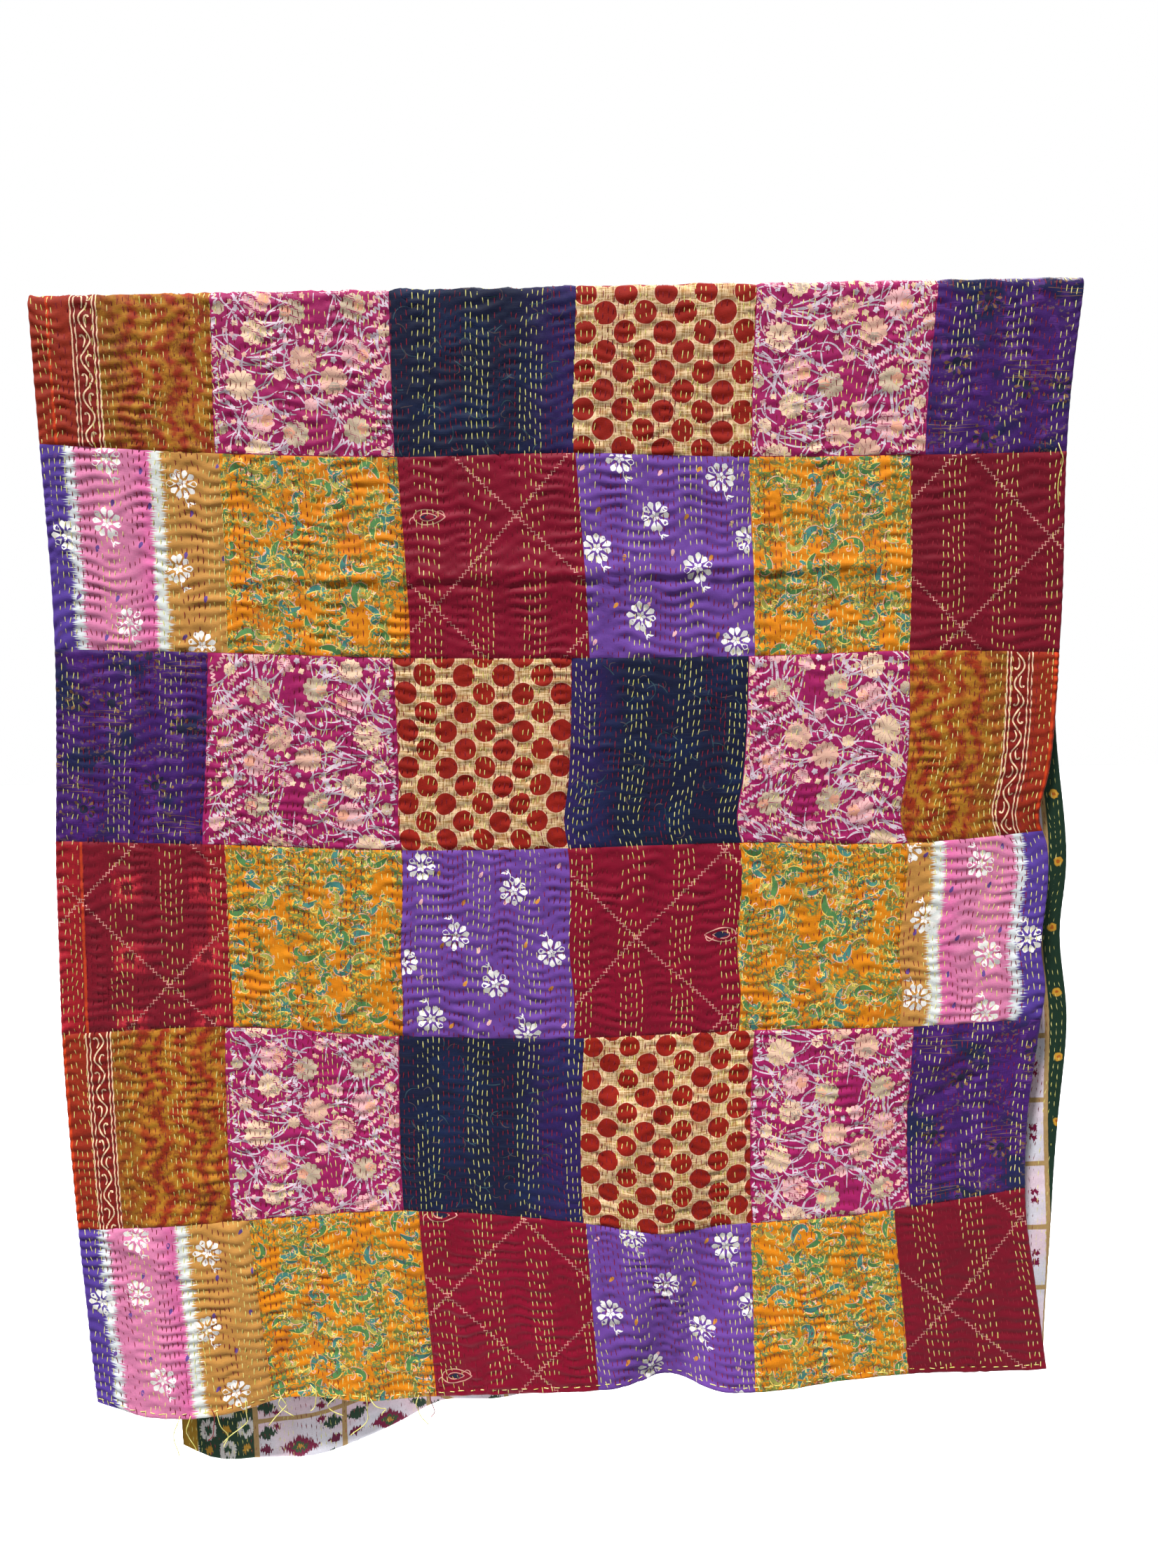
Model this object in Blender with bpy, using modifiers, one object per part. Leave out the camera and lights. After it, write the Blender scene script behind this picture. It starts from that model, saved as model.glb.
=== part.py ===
"""Kantha quilt hung over a line: a patchwork top and a printed backing, folded together at the top.

Metres, +Z up. The fold runs along X at the origin, the front flap faces -Y and the back flap hangs behind it.
"""
import math
from collections import namedtuple

import bmesh
import bpy
import numpy as np

# Cloth
LAYER = 0.0012          # thickness of the quilted top and of the backing
LAYER_GAP = 0.0003      # between the two
LINE_RADIUS = 0.006     # inside of the fold, where the line passes
FLAP_LENGTH = 1.375     # what a flap measures from the fold to a straight hem

# Grid of each cloth
COLUMNS = 30
FLAP_ROWS = 22
FOLD_ROWS = 8
SHARP_ANGLE = math.radians(50)

# Side edges of a flap: how far below the fold, and where the edges are
Edge = namedtuple("Edge", "drop left right")
FRONT_EDGES = [
    Edge(0.00, -0.605, 0.608),
    Edge(0.12, -0.604, 0.597),
    Edge(0.40, -0.603, 0.594),
    Edge(0.56, -0.613, 0.586),
    Edge(0.62, -0.618, 0.577),
    Edge(0.65, -0.620, 0.587),
    Edge(0.70, -0.622, 0.588),
    Edge(0.78, -0.625, 0.581),
    Edge(0.83, -0.627, 0.587),
    Edge(0.88, -0.628, 0.583),
    Edge(1.00, -0.627, 0.572),
    Edge(1.12, -0.624, 0.573),
    Edge(1.22, -0.620, 0.588),
    Edge(1.38, -0.612, 0.612),
]
BACK_EDGES = [
    Edge(0.00, -0.605, 0.608),
    Edge(0.30, -0.600, 0.596),
    Edge(0.50, -0.592, 0.600),
    Edge(0.69, -0.583, 0.621),
    Edge(0.76, -0.579, 0.618),
    Edge(0.88, -0.572, 0.632),
    Edge(1.02, -0.560, 0.624),
    Edge(1.20, -0.545, 0.618),
    Edge(1.40, -0.524, 0.619),
]

# Hem of a flap: the share of the width from the left edge, and the cloth's drop there
Hem = namedtuple("Hem", "across drop")
FRONT_HEM = [
    Hem(0.00, 1.352),
    Hem(0.04, 1.364),
    Hem(0.12, 1.367),
    Hem(0.20, 1.356),
    Hem(0.28, 1.357),
    Hem(0.45, 1.355),
    Hem(0.54, 1.352),
    Hem(0.60, 1.344),
    Hem(0.65, 1.355),
    Hem(0.73, 1.351),
    Hem(0.82, 1.342),
    Hem(0.90, 1.341),
    Hem(1.00, 1.334),
]
BACK_HEM = [
    Hem(0.00, 1.445),
    Hem(0.03, 1.460),
    Hem(0.09, 1.467),
    Hem(0.17, 1.474),
    Hem(0.24, 1.466),
    Hem(0.31, 1.414),
    Hem(0.38, 1.390),
    Hem(0.50, 1.374),
    Hem(0.75, 1.364),
    Hem(1.00, 1.340),
]

# Folds that grow from nothing at their start to their height at the hem, as seen from outside the flap
Fold = namedtuple("Fold", "name foot_x lean half_width start height")
FRONT_FOLDS = [
    Fold("left swell", -0.50, 0.05, 0.17, 0.80, 0.020),
    Fold("left notch", -0.37, 0.00, 0.06, 1.15, -0.007),
    Fold("small swell", -0.27, -0.10, 0.07, 1.10, 0.008),
    Fold("dart", 0.112, -0.25, 0.075, 1.00, -0.024),
    Fold("right of the dart", 0.24, -0.20, 0.11, 0.90, 0.008),
    Fold("right corner", 0.48, 0.20, 0.12, 0.85, -0.008),
]
BACK_FOLDS = [
    Fold("left corner", -0.48, 0.05, 0.11, 0.90, -0.010),
    Fold("left flute", -0.24, 0.10, 0.15, 0.30, 0.052),
    Fold("middle flute", 0.07, 0.03, 0.14, 0.35, 0.042),
    Fold("right flute", 0.37, -0.02, 0.14, 0.40, 0.034),
]

# Soft swells and hollows: their middle, half sizes, turn and height, as seen from outside the flap
Swell = namedtuple("Swell", "name x drop half_wide half_high turn height")
FRONT_SWELLS = [
    Swell("storage crease", 0.10, 0.320, 0.62, 0.050, 0, 0.004),
    Swell("upper left", -0.35, 0.45, 0.30, 0.22, 10, 0.005),
    Swell("upper right", 0.30, 0.50, 0.30, 0.20, -12, 0.005),
    Swell("right edge notch", 0.60, 0.640, 0.10, 0.06, 0, -0.006),
    Swell("right edge lip", 0.60, 0.80, 0.08, 0.12, 0, 0.006),
    Swell("lower right hollow", 0.46, 1.02, 0.16, 0.12, 35, -0.006),
    Swell("lower middle", 0.16, 1.02, 0.16, 0.13, -40, 0.006),
    Swell("lower left hollow", -0.18, 0.95, 0.20, 0.14, 30, -0.005),
]
BACK_SWELLS = [
    Swell("right edge lip", 0.60, 0.85, 0.10, 0.20, 0, 0.008),
    Swell("right edge hollow", 0.60, 1.18, 0.10, 0.14, 0, -0.005),
    Swell("upper swell", -0.10, 0.40, 0.35, 0.20, 8, 0.005),
]

# A flap: which way it faces, how far its hem stands out from the fold, and its tables
Flap = namedtuple("Flap", "facing stand_off edges hem folds swells")
FRONT = Flap(-1, 0.012, FRONT_EDGES, FRONT_HEM, FRONT_FOLDS, FRONT_SWELLS)
BACK = Flap(1, 0.018, BACK_EDGES, BACK_HEM, BACK_FOLDS, BACK_SWELLS)

# Worked out from the sizes above
QUILT_THICKNESS = 2 * LAYER + LAYER_GAP
FOLD_AXIS_Z = -(LINE_RADIUS + QUILT_THICKNESS)
ROWS = 2 * FLAP_ROWS + FOLD_ROWS


def curve(table, column, at):
    """A smooth curve through one column of a table, read at places along the table's first column."""
    knots = np.array([row[0] for row in table])
    values = np.array([getattr(row, column) for row in table])
    slopes = np.gradient(values, knots)
    at = np.clip(at, knots[0], knots[-1])
    i = np.clip(np.searchsorted(knots, at, side="right") - 1, 0, len(knots) - 2)
    span = knots[i + 1] - knots[i]
    s = (at - knots[i]) / span
    start = (1 + 2 * s) * values[i] + s * span * slopes[i]
    end = (3 - 2 * s) * values[i + 1] - (1 - s) * span * slopes[i + 1]
    return (1 - s) ** 2 * start + s ** 2 * end


def hump(distance):
    """1 in the middle of a fold, falling smoothly to 0 at its half width."""
    return np.cos(np.clip(distance, -1, 1) * math.pi / 2) ** 2


def relief(flap, x, drop):
    """How far the cloth stands out from the fold's own plane, at a place on the hanging flap."""
    down = np.clip(drop / FLAP_LENGTH, 0, 1)
    out = flap.stand_off * down ** 1.5
    for fold in flap.folds:
        grown = np.clip((drop - fold.start) / (FLAP_LENGTH - fold.start), 0, 1.1)
        middle = fold.foot_x - fold.lean * (FLAP_LENGTH - drop)
        out = out + fold.height * grown ** 1.5 * hump((x - middle) / fold.half_width)
    for swell in flap.swells:
        turn = math.radians(swell.turn)
        across = (x - swell.x) * math.cos(turn) - (drop - swell.drop) * math.sin(turn)
        along = (x - swell.x) * math.sin(turn) + (drop - swell.drop) * math.cos(turn)
        out = out + swell.height * hump(across / swell.half_wide) * hump(along / swell.half_high)
    return out


def flap_point(flap, across, share):
    """A point on the inner face of a flap, at a share of its width and of its drop below the fold."""
    drop = share * curve(flap.hem, "drop", across)
    left = curve(flap.edges, "left", drop)
    right = curve(flap.edges, "right", drop)
    x = left + (right - left) * across
    y = flap.facing * (LINE_RADIUS + relief(flap, x, drop))
    return x, y, FOLD_AXIS_Z - drop


def sheet_point(across, row):
    """A point on the inner face of the quilt. Rows run from the front hem over the fold to the back hem."""
    if row < FLAP_ROWS:
        return flap_point(FRONT, across, 1 - row / FLAP_ROWS)
    if row > FLAP_ROWS + FOLD_ROWS:
        return flap_point(BACK, across, (row - FLAP_ROWS - FOLD_ROWS) / FLAP_ROWS)
    turn = math.pi * (row - FLAP_ROWS) / FOLD_ROWS
    x, _, _ = flap_point(FRONT, across, 0)
    return x, -LINE_RADIUS * math.cos(turn), FOLD_AXIS_Z + LINE_RADIUS * math.sin(turn)


def make_material(name, color, roughness):
    """A plain finish for one cloth."""
    material = bpy.data.materials.new(name)
    material.use_nodes = True
    shader = material.node_tree.nodes["Principled BSDF"]
    shader.inputs["Base Color"].default_value = (*color, 1)
    shader.inputs["Roughness"].default_value = roughness
    shader.inputs["Metallic"].default_value = 0
    return material


def make_cloth(name, inner_face, material, collection):
    """One closed cloth: the draped grid, moved out to its own inner face and thickened outwards."""
    cloth = bmesh.new()
    bmesh.ops.create_grid(cloth, x_segments=COLUMNS, y_segments=ROWS, size=0.5)
    for point in cloth.verts:
        row = round((point.co.y + 0.5) * ROWS)
        point.co = sheet_point(point.co.x + 0.5, row)
    cloth.normal_update()
    places = [point.co + point.normal * inner_face for point in cloth.verts]
    for point, place in zip(cloth.verts, places):
        point.co = place
    mesh = bpy.data.meshes.new(name)
    cloth.to_mesh(mesh)
    cloth.free()
    mesh.shade_smooth()
    mesh.set_sharp_from_angle(angle=SHARP_ANGLE)
    mesh.materials.append(material)
    piece = bpy.data.objects.new(name, mesh)
    collection.objects.link(piece)
    thick = piece.modifiers.new("Thickness", "SOLIDIFY")
    thick.thickness = LAYER
    thick.offset = 1
    return piece


def main():
    for old in list(bpy.data.objects):
        bpy.data.objects.remove(old)
    collection = bpy.data.collections.new("kantha_quilt")
    bpy.context.scene.collection.children.link(collection)
    backing = make_material("printed_backing", (0.60, 0.48, 0.55), 0.75)
    top = make_material("patchwork_cotton", (0.45, 0.10, 0.12), 0.7)
    make_cloth("quilt_backing", 0, backing, collection)
    make_cloth("quilt_top", LAYER + LAYER_GAP, top, collection)


main()
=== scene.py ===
"""Kantha quilt hung over a line: its patches, prints, puckers and running stitches.

Lengths are in metres. A place on the quilt is given by across, its share of the width from the left edge, and by
along, its distance from the top of the fold: positive down the front flap and negative down the back flap.
"""
import math
from collections import namedtuple

import bpy
import numpy as np
from mathutils import Matrix, Vector


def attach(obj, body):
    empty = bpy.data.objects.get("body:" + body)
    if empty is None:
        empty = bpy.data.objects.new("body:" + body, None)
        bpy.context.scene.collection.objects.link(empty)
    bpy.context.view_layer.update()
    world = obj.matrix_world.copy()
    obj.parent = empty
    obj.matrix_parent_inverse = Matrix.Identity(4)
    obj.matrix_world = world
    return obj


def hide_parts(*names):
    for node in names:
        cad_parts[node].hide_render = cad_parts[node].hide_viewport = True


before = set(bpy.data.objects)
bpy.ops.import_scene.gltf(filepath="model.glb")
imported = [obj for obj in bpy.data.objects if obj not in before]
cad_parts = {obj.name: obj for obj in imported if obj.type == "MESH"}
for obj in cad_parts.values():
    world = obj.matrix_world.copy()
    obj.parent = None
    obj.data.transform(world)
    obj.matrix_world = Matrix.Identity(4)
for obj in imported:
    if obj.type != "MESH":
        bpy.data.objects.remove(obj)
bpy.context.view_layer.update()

# Cloth, as in the solids
LAYER = 0.0012
LAYER_GAP = 0.0003
LINE_RADIUS = 0.006
FLAP_LENGTH = 1.375
WIDTH = 1.22
QUILT_THICKNESS = 2 * LAYER + LAYER_GAP
FOLD_AXIS_Z = -(LINE_RADIUS + QUILT_THICKNESS)
HALF_TURN = math.pi / 2 * (LINE_RADIUS + QUILT_THICKNESS)

# Side edges of a flap: how far below the fold, and where the edges are
Edge = namedtuple("Edge", "drop left right")
FRONT_EDGES = [
    Edge(0.00, -0.605, 0.608),
    Edge(0.12, -0.604, 0.597),
    Edge(0.40, -0.603, 0.594),
    Edge(0.56, -0.613, 0.586),
    Edge(0.62, -0.618, 0.577),
    Edge(0.65, -0.620, 0.587),
    Edge(0.70, -0.622, 0.588),
    Edge(0.78, -0.625, 0.581),
    Edge(0.83, -0.627, 0.587),
    Edge(0.88, -0.628, 0.583),
    Edge(1.00, -0.627, 0.572),
    Edge(1.12, -0.624, 0.573),
    Edge(1.22, -0.620, 0.588),
    Edge(1.38, -0.612, 0.612),
]
BACK_EDGES = [
    Edge(0.00, -0.605, 0.608),
    Edge(0.30, -0.600, 0.596),
    Edge(0.50, -0.592, 0.600),
    Edge(0.69, -0.583, 0.621),
    Edge(0.76, -0.579, 0.618),
    Edge(0.88, -0.572, 0.632),
    Edge(1.02, -0.560, 0.624),
    Edge(1.20, -0.545, 0.618),
    Edge(1.40, -0.524, 0.619),
]

# Hem of a flap: the share of the width from the left edge, and the cloth's drop there
Hem = namedtuple("Hem", "across drop")
FRONT_HEM = [
    Hem(0.00, 1.352),
    Hem(0.04, 1.364),
    Hem(0.12, 1.367),
    Hem(0.20, 1.356),
    Hem(0.28, 1.357),
    Hem(0.45, 1.355),
    Hem(0.54, 1.352),
    Hem(0.60, 1.344),
    Hem(0.65, 1.355),
    Hem(0.73, 1.351),
    Hem(0.82, 1.342),
    Hem(0.90, 1.341),
    Hem(1.00, 1.334),
]
BACK_HEM = [
    Hem(0.00, 1.445),
    Hem(0.03, 1.460),
    Hem(0.09, 1.467),
    Hem(0.17, 1.474),
    Hem(0.24, 1.466),
    Hem(0.31, 1.414),
    Hem(0.38, 1.390),
    Hem(0.50, 1.374),
    Hem(0.75, 1.364),
    Hem(1.00, 1.340),
]

# Folds that grow from nothing at their start to their height at the hem, as seen from outside the flap
Fold = namedtuple("Fold", "name foot_x lean half_width start height")
FRONT_FOLDS = [
    Fold("left swell", -0.50, 0.05, 0.17, 0.80, 0.020),
    Fold("left notch", -0.37, 0.00, 0.06, 1.15, -0.007),
    Fold("small swell", -0.27, -0.10, 0.07, 1.10, 0.008),
    Fold("dart", 0.112, -0.25, 0.075, 1.00, -0.024),
    Fold("right of the dart", 0.24, -0.20, 0.11, 0.90, 0.008),
    Fold("right corner", 0.48, 0.20, 0.12, 0.85, -0.008),
]
BACK_FOLDS = [
    Fold("left corner", -0.48, 0.05, 0.11, 0.90, -0.010),
    Fold("left flute", -0.24, 0.10, 0.15, 0.30, 0.052),
    Fold("middle flute", 0.07, 0.03, 0.14, 0.35, 0.042),
    Fold("right flute", 0.37, -0.02, 0.14, 0.40, 0.034),
]

# Soft swells and hollows: their middle, half sizes, turn and height, as seen from outside the flap
Swell = namedtuple("Swell", "name x drop half_wide half_high turn height")
FRONT_SWELLS = [
    Swell("storage crease", 0.10, 0.320, 0.62, 0.050, 0, 0.004),
    Swell("upper left", -0.35, 0.45, 0.30, 0.22, 10, 0.005),
    Swell("upper right", 0.30, 0.50, 0.30, 0.20, -12, 0.005),
    Swell("right edge notch", 0.60, 0.640, 0.10, 0.06, 0, -0.006),
    Swell("right edge lip", 0.60, 0.80, 0.08, 0.12, 0, 0.006),
    Swell("lower right hollow", 0.46, 1.02, 0.16, 0.12, 35, -0.006),
    Swell("lower middle", 0.16, 1.02, 0.16, 0.13, -40, 0.006),
    Swell("lower left hollow", -0.18, 0.95, 0.20, 0.14, 30, -0.005),
]
BACK_SWELLS = [
    Swell("right edge lip", 0.60, 0.85, 0.10, 0.20, 0, 0.008),
    Swell("right edge hollow", 0.60, 1.18, 0.10, 0.14, 0, -0.005),
    Swell("upper swell", -0.10, 0.40, 0.35, 0.20, 8, 0.005),
]
Flap = namedtuple("Flap", "facing stand_off edges hem folds swells")
FRONT = Flap(-1, 0.012, FRONT_EDGES, FRONT_HEM, FRONT_FOLDS, FRONT_SWELLS)
BACK = Flap(1, 0.018, BACK_EDGES, BACK_HEM, BACK_FOLDS, BACK_SWELLS)

# Fine creases on the front: a soft ridge or trough between two places, given by x and drop
Crease = namedtuple("Crease", "x0 drop0 x1 drop1 half_width height")
CREASES = [
    Crease(-0.56, 0.318, 0.58, 0.312, 0.009, 0.0022),
    Crease(-0.50, 0.331, 0.56, 0.327, 0.008, -0.0016),
    Crease(-0.52, 0.345, -0.20, 0.338, 0.007, 0.0012),
    Crease(-0.02, 0.520, 0.17, 0.524, 0.007, 0.0012),
    Crease(0.00, 0.905, 0.12, 1.010, 0.020, 0.0044),
    Crease(0.05, 0.900, 0.19, 1.060, 0.018, -0.0038),
    Crease(0.17, 0.930, 0.06, 1.090, 0.018, 0.0036),
    Crease(0.20, 0.640, 0.32, 0.800, 0.022, 0.0038),
    Crease(0.24, 0.640, 0.37, 0.840, 0.020, -0.0034),
    Crease(0.05, 1.150, 0.110, 1.345, 0.020, 0.0034),
    Crease(0.16, 1.190, 0.125, 1.345, 0.016, 0.0030),
    Crease(0.46, 0.930, 0.57, 0.880, 0.015, 0.0038),
    Crease(0.44, 0.990, 0.57, 0.930, 0.015, -0.0034),
    Crease(0.45, 1.080, 0.57, 1.010, 0.015, 0.0034),
    Crease(-0.60, 1.110, -0.44, 1.200, 0.020, 0.0026),
    Crease(-0.55, 1.060, -0.36, 1.130, 0.020, -0.0022),
    Crease(-0.40, 1.300, -0.30, 1.180, 0.016, 0.0024),
    Crease(-0.17, 0.780, -0.30, 0.860, 0.018, 0.0020),
]

# Where the row seams cross the front, below the fold
Seam = namedtuple("Seam", "across line1 line2 line3 line4 line5")
ROW_SEAMS = [
    Seam(0.00, 0.157, 0.394, 0.625, 0.867, 1.120),
    Seam(0.17, 0.171, 0.402, 0.633, 0.861, 1.113),
    Seam(0.35, 0.179, 0.412, 0.644, 0.878, 1.105),
    Seam(0.53, 0.178, 0.416, 0.645, 0.884, 1.125),
    Seam(0.62, 0.183, 0.417, 0.643, 0.881, 1.142),
    Seam(0.70, 0.186, 0.417, 0.642, 0.878, 1.130),
    Seam(0.86, 0.187, 0.414, 0.646, 0.877, 1.117),
    Seam(1.00, 0.186, 0.419, 0.635, 0.869, 1.089),
]
FIRST_BACK_SEAM = -0.043

# A strip of six patches: its row, and its five seams as shares of the width at its top and at its bottom
Strip = namedtuple("Strip", "row top bottom")
FRONT_STRIPS = [
    Strip(1, (0.173, 0.341, 0.519, 0.689, 0.862), (0.170, 0.345, 0.519, 0.693, 0.862)),
    Strip(2, (0.174, 0.347, 0.521, 0.690, 0.848), (0.173, 0.354, 0.532, 0.696, 0.850)),
    Strip(3, (0.153, 0.336, 0.514, 0.690, 0.850), (0.149, 0.350, 0.517, 0.692, 0.859)),
    Strip(4, (0.171, 0.349, 0.516, 0.690, 0.857), (0.176, 0.348, 0.524, 0.692, 0.856)),
    Strip(5, (0.167, 0.344, 0.534, 0.708, 0.871), (0.163, 0.344, 0.532, 0.711, 0.879)),
    Strip(6, (0.180, 0.360, 0.535, 0.709, 0.862), (0.182, 0.355, 0.526, 0.690, 0.855)),
]
EVEN_SEAMS = (0.172, 0.346, 0.520, 0.693, 0.858)
LAST_ROW, FIRST_ROW = 6, -5

# The cloths of the odd and the even rows. Rows in the second pair of every four are turned half round
ODD_ROW = ("rust", "floral", "navy", "dots", "floral", "violet")
EVEN_ROW = ("stripe", "scroll", "maroon", "posy", "scroll", "ruby")
OWN_CLOTH = {(4, 0): "ikat"}
# How far into its cloth a patch starts, in millimetres, where it isn't cut like the first of its kind
CUT = {(3, 5): 17, (5, 0): 18}

# Where two lines of the feather-stitched lattice cross on a patch: its row and column, and the place in millimetres
Crossing = namedtuple("Crossing", "row column x y")
CROSSINGS = [
    Crossing(2, 2, 137, 70),
    Crossing(2, 5, 62, 203),
    Crossing(4, 0, 30, 72),
    Crossing(4, 3, 83, 114),
    Crossing(6, 2, 133, 3),
    Crossing(6, 5, 57, 143),
]

# Running stitches
STITCH_PITCH = 0.0135
STITCH_LENGTH = 0.0080
STITCH_WIDTH = 0.0010
LINE_GAP = 0.0063
LINES_IN_BAND = 5
CHEVRON_WIDTH = 0.055
FIRST_LINE = 0.003
PUCKER = 0.0022
PUFF_DIP = 0.3
HEM_STITCH_UP = 0.0075
SEEN_MARGIN = 0.09

# Loose ends of thread: where each leaves the cloth, as a share of the width and a height above the front hem, how
# far it hangs and swings sideways, how far it bows, and its thread
Tail = namedtuple("Tail", "across up length swing bow thread")
TAILS = [
    Tail(0.090, 0.006, 0.052, -0.004, -0.006, "pale"),
    Tail(0.100, 0.004, 0.046, 0.008, -0.005, "pale"),
    Tail(0.122, 0.010, 0.040, -0.006, 0.006, "red"),
    Tail(0.126, 0.005, 0.046, 0.010, 0.009, "pale"),
    Tail(0.156, 0.012, 0.056, -0.030, 0.010, "pale"),
    Tail(0.190, 0.014, 0.046, -0.016, 0.012, "pale"),
    Tail(0.193, 0.006, 0.026, 0.012, -0.010, "pale"),
    Tail(0.224, 0.018, 0.034, -0.002, 0.009, "pale"),
    Tail(0.252, 0.006, 0.026, 0.008, -0.013, "pale"),
    Tail(0.281, 0.010, 0.056, -0.018, 0.010, "pale"),
    Tail(0.286, 0.004, 0.022, 0.016, 0.012, "pale"),
    Tail(0.338, 0.005, 0.040, 0.010, -0.008, "pale"),
    Tail(0.346, 0.010, 0.036, 0.005, 0.006, "red"),
    Tail(0.992, 1.160, 0.070, -0.002, 0.002, "pale"),
]
TAIL_RADIUS = 0.0006

# Seams and edges
SEAM_DEPTH = 0.0011
SEAM_HALF_WIDTH = 0.0022
ROUND_EDGE = 0.0022
HEM_WIDTH = 0.009

# Where the backing's cross lines lie, in millimetres
GRID_SHIFT = 12

# How finely the cloth is modelled
FRONT_STEP = (0.0066, 0.0022)
BACK_STEP = (0.0110, 0.0052)
BACKING_STEP = (0.0200, 0.0066)
PRINT_LIFT = 0.00015
PRINT_LAYER = 0.000012

# The camera, fitted to the seams in the photograph
PHOTO_SIZE = (1652, 2236)
FOCAL_PIXELS = 1650
CAMERA_PLACE = (0.0178, -1.3964, -0.3974)
CAMERA_PITCH = math.radians(7.33)
CAMERA_ROLL = math.radians(1.035)
FLOOR_Z = -3.0
SURROUND_LIGHT = 0.15

# A small soft light below the front hem, for the backing that shows there
LOW_FILL_PLACE = (-0.33, -0.05, -1.76)
LOW_FILL_SIZE = 0.08
LOW_FILL_POWER = 7.0

# Lights: the way each shines, its softness in degrees and its power
Sun = namedtuple("Sun", "name towards size power")
SUNS = [
    Sun("key", (0.26, 0.46, -1.0), 7, 5.8),
    Sun("front", (-0.3, 1.0, -0.5), 40, 0.40),
    Sun("rear", (-0.4, -0.6, -0.8), 12, 3.6),
]


# Draping

def through(knots, values, at):
    """A smooth curve through values at knots. Values may have several columns."""
    slopes = np.gradient(values, knots, axis=0)
    at = np.clip(at, knots[0], knots[-1])
    i = np.clip(np.searchsorted(knots, at, side="right") - 1, 0, len(knots) - 2)
    span = knots[i + 1] - knots[i]
    s = (at - knots[i]) / span
    if values.ndim > 1:
        span, s = span[:, None], s[:, None]
    start = (1 + 2 * s) * values[i] + s * span * slopes[i]
    end = (3 - 2 * s) * values[i + 1] - (1 - s) * span * slopes[i + 1]
    return (1 - s) ** 2 * start + s ** 2 * end


def curve(table, column, at):
    """A smooth curve through one column of a table, read at places along the table's first column."""
    return through(np.array([row[0] for row in table]), np.array([getattr(row, column) for row in table]), at)


def hump(distance):
    """1 in the middle of a fold, falling smoothly to 0 at its half width."""
    return np.cos(np.clip(distance, -1, 1) * math.pi / 2) ** 2


def relief(flap, x, drop):
    """How far the cloth stands out from the fold's own plane, at a place on the hanging flap."""
    down = np.clip(drop / FLAP_LENGTH, 0, 1)
    out = flap.stand_off * down ** 1.5
    for fold in flap.folds:
        grown = np.clip((drop - fold.start) / (FLAP_LENGTH - fold.start), 0, 1.1)
        middle = fold.foot_x - fold.lean * (FLAP_LENGTH - drop)
        out = out + fold.height * grown ** 1.5 * hump((x - middle) / fold.half_width)
    for swell in flap.swells:
        turn = math.radians(swell.turn)
        across = (x - swell.x) * math.cos(turn) - (drop - swell.drop) * math.sin(turn)
        along = (x - swell.x) * math.sin(turn) + (drop - swell.drop) * math.cos(turn)
        out = out + swell.height * hump(across / swell.half_wide) * hump(along / swell.half_high)
    return out


def flap_point(flap, across, drop):
    """A point on the inner face of a flap, at a drop below the fold."""
    left = curve(flap.edges, "left", drop)
    right = curve(flap.edges, "right", drop)
    x = left + (right - left) * across
    y = flap.facing * (LINE_RADIUS + relief(flap, x, drop))
    return np.stack([x, y, FOLD_AXIS_Z - drop], -1)


def inner_point(across, along):
    """A point on the inner face of the quilt."""
    front = flap_point(FRONT, across, np.clip(along - HALF_TURN, 0, None))
    back = flap_point(BACK, across, np.clip(-along - HALF_TURN, 0, None))
    turn = np.clip((HALF_TURN - along) / (2 * HALF_TURN), 0, 1) * math.pi
    fold = np.stack([front[..., 0], -LINE_RADIUS * np.cos(turn), FOLD_AXIS_Z + LINE_RADIUS * np.sin(turn)], -1)
    side = np.stack([along] * 3, -1)
    return np.where(side > HALF_TURN, front, np.where(side < -HALF_TURN, back, fold))


def place(across, along, out):
    """Points of the quilt at a distance out from its inner face."""
    across, along, out = np.broadcast_arrays(across, along, out)
    nudge = 0.0004
    wide = inner_point(across + nudge, along) - inner_point(across - nudge, along)
    long = inner_point(across, along - nudge) - inner_point(across, along + nudge)
    normal = np.cross(wide, long)
    normal /= np.linalg.norm(normal, axis=-1, keepdims=True)
    return inner_point(across, along) + normal * out[..., None]


# Fine relief

def waves(x, y, wide, high, seed):
    """Smooth uneven waves between about -1 and 1, of a size across and along."""
    rng = np.random.default_rng(seed)
    total = np.zeros(np.broadcast(x, y).shape)
    for turn, push, size in rng.uniform((0, 0, 0.6), (2 * math.pi, 2 * math.pi, 1.5), (9, 3)):
        total += np.sin(2 * math.pi / size * (x / wide * math.cos(turn) + y / high * math.sin(turn)) + push)
    return total / 4


def stitch_phase(x, along):
    """Counts the rows of running stitches down the quilt. They drift up and down from line to line."""
    sway = 0.80 * waves(x, along, 0.090, 0.22, 1) + 0.25 * waves(x, along, 0.030, 0.09, 2)
    slant = 0.30 * np.sin(2 * math.pi * x / CHEVRON_WIDTH + 1.3 * waves(x, along, 0.35, 0.12, 6))
    return along / STITCH_PITCH + sway + slant


def puff(phase):
    """0 where the stitches pull the cloth in, and 1 on the rounded ridges between them."""
    dip = math.sqrt(PUFF_DIP)
    return (np.sqrt(np.sin(math.pi * phase) ** 2 + PUFF_DIP) - dip) / (math.sqrt(1 + PUFF_DIP) - dip)


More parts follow.
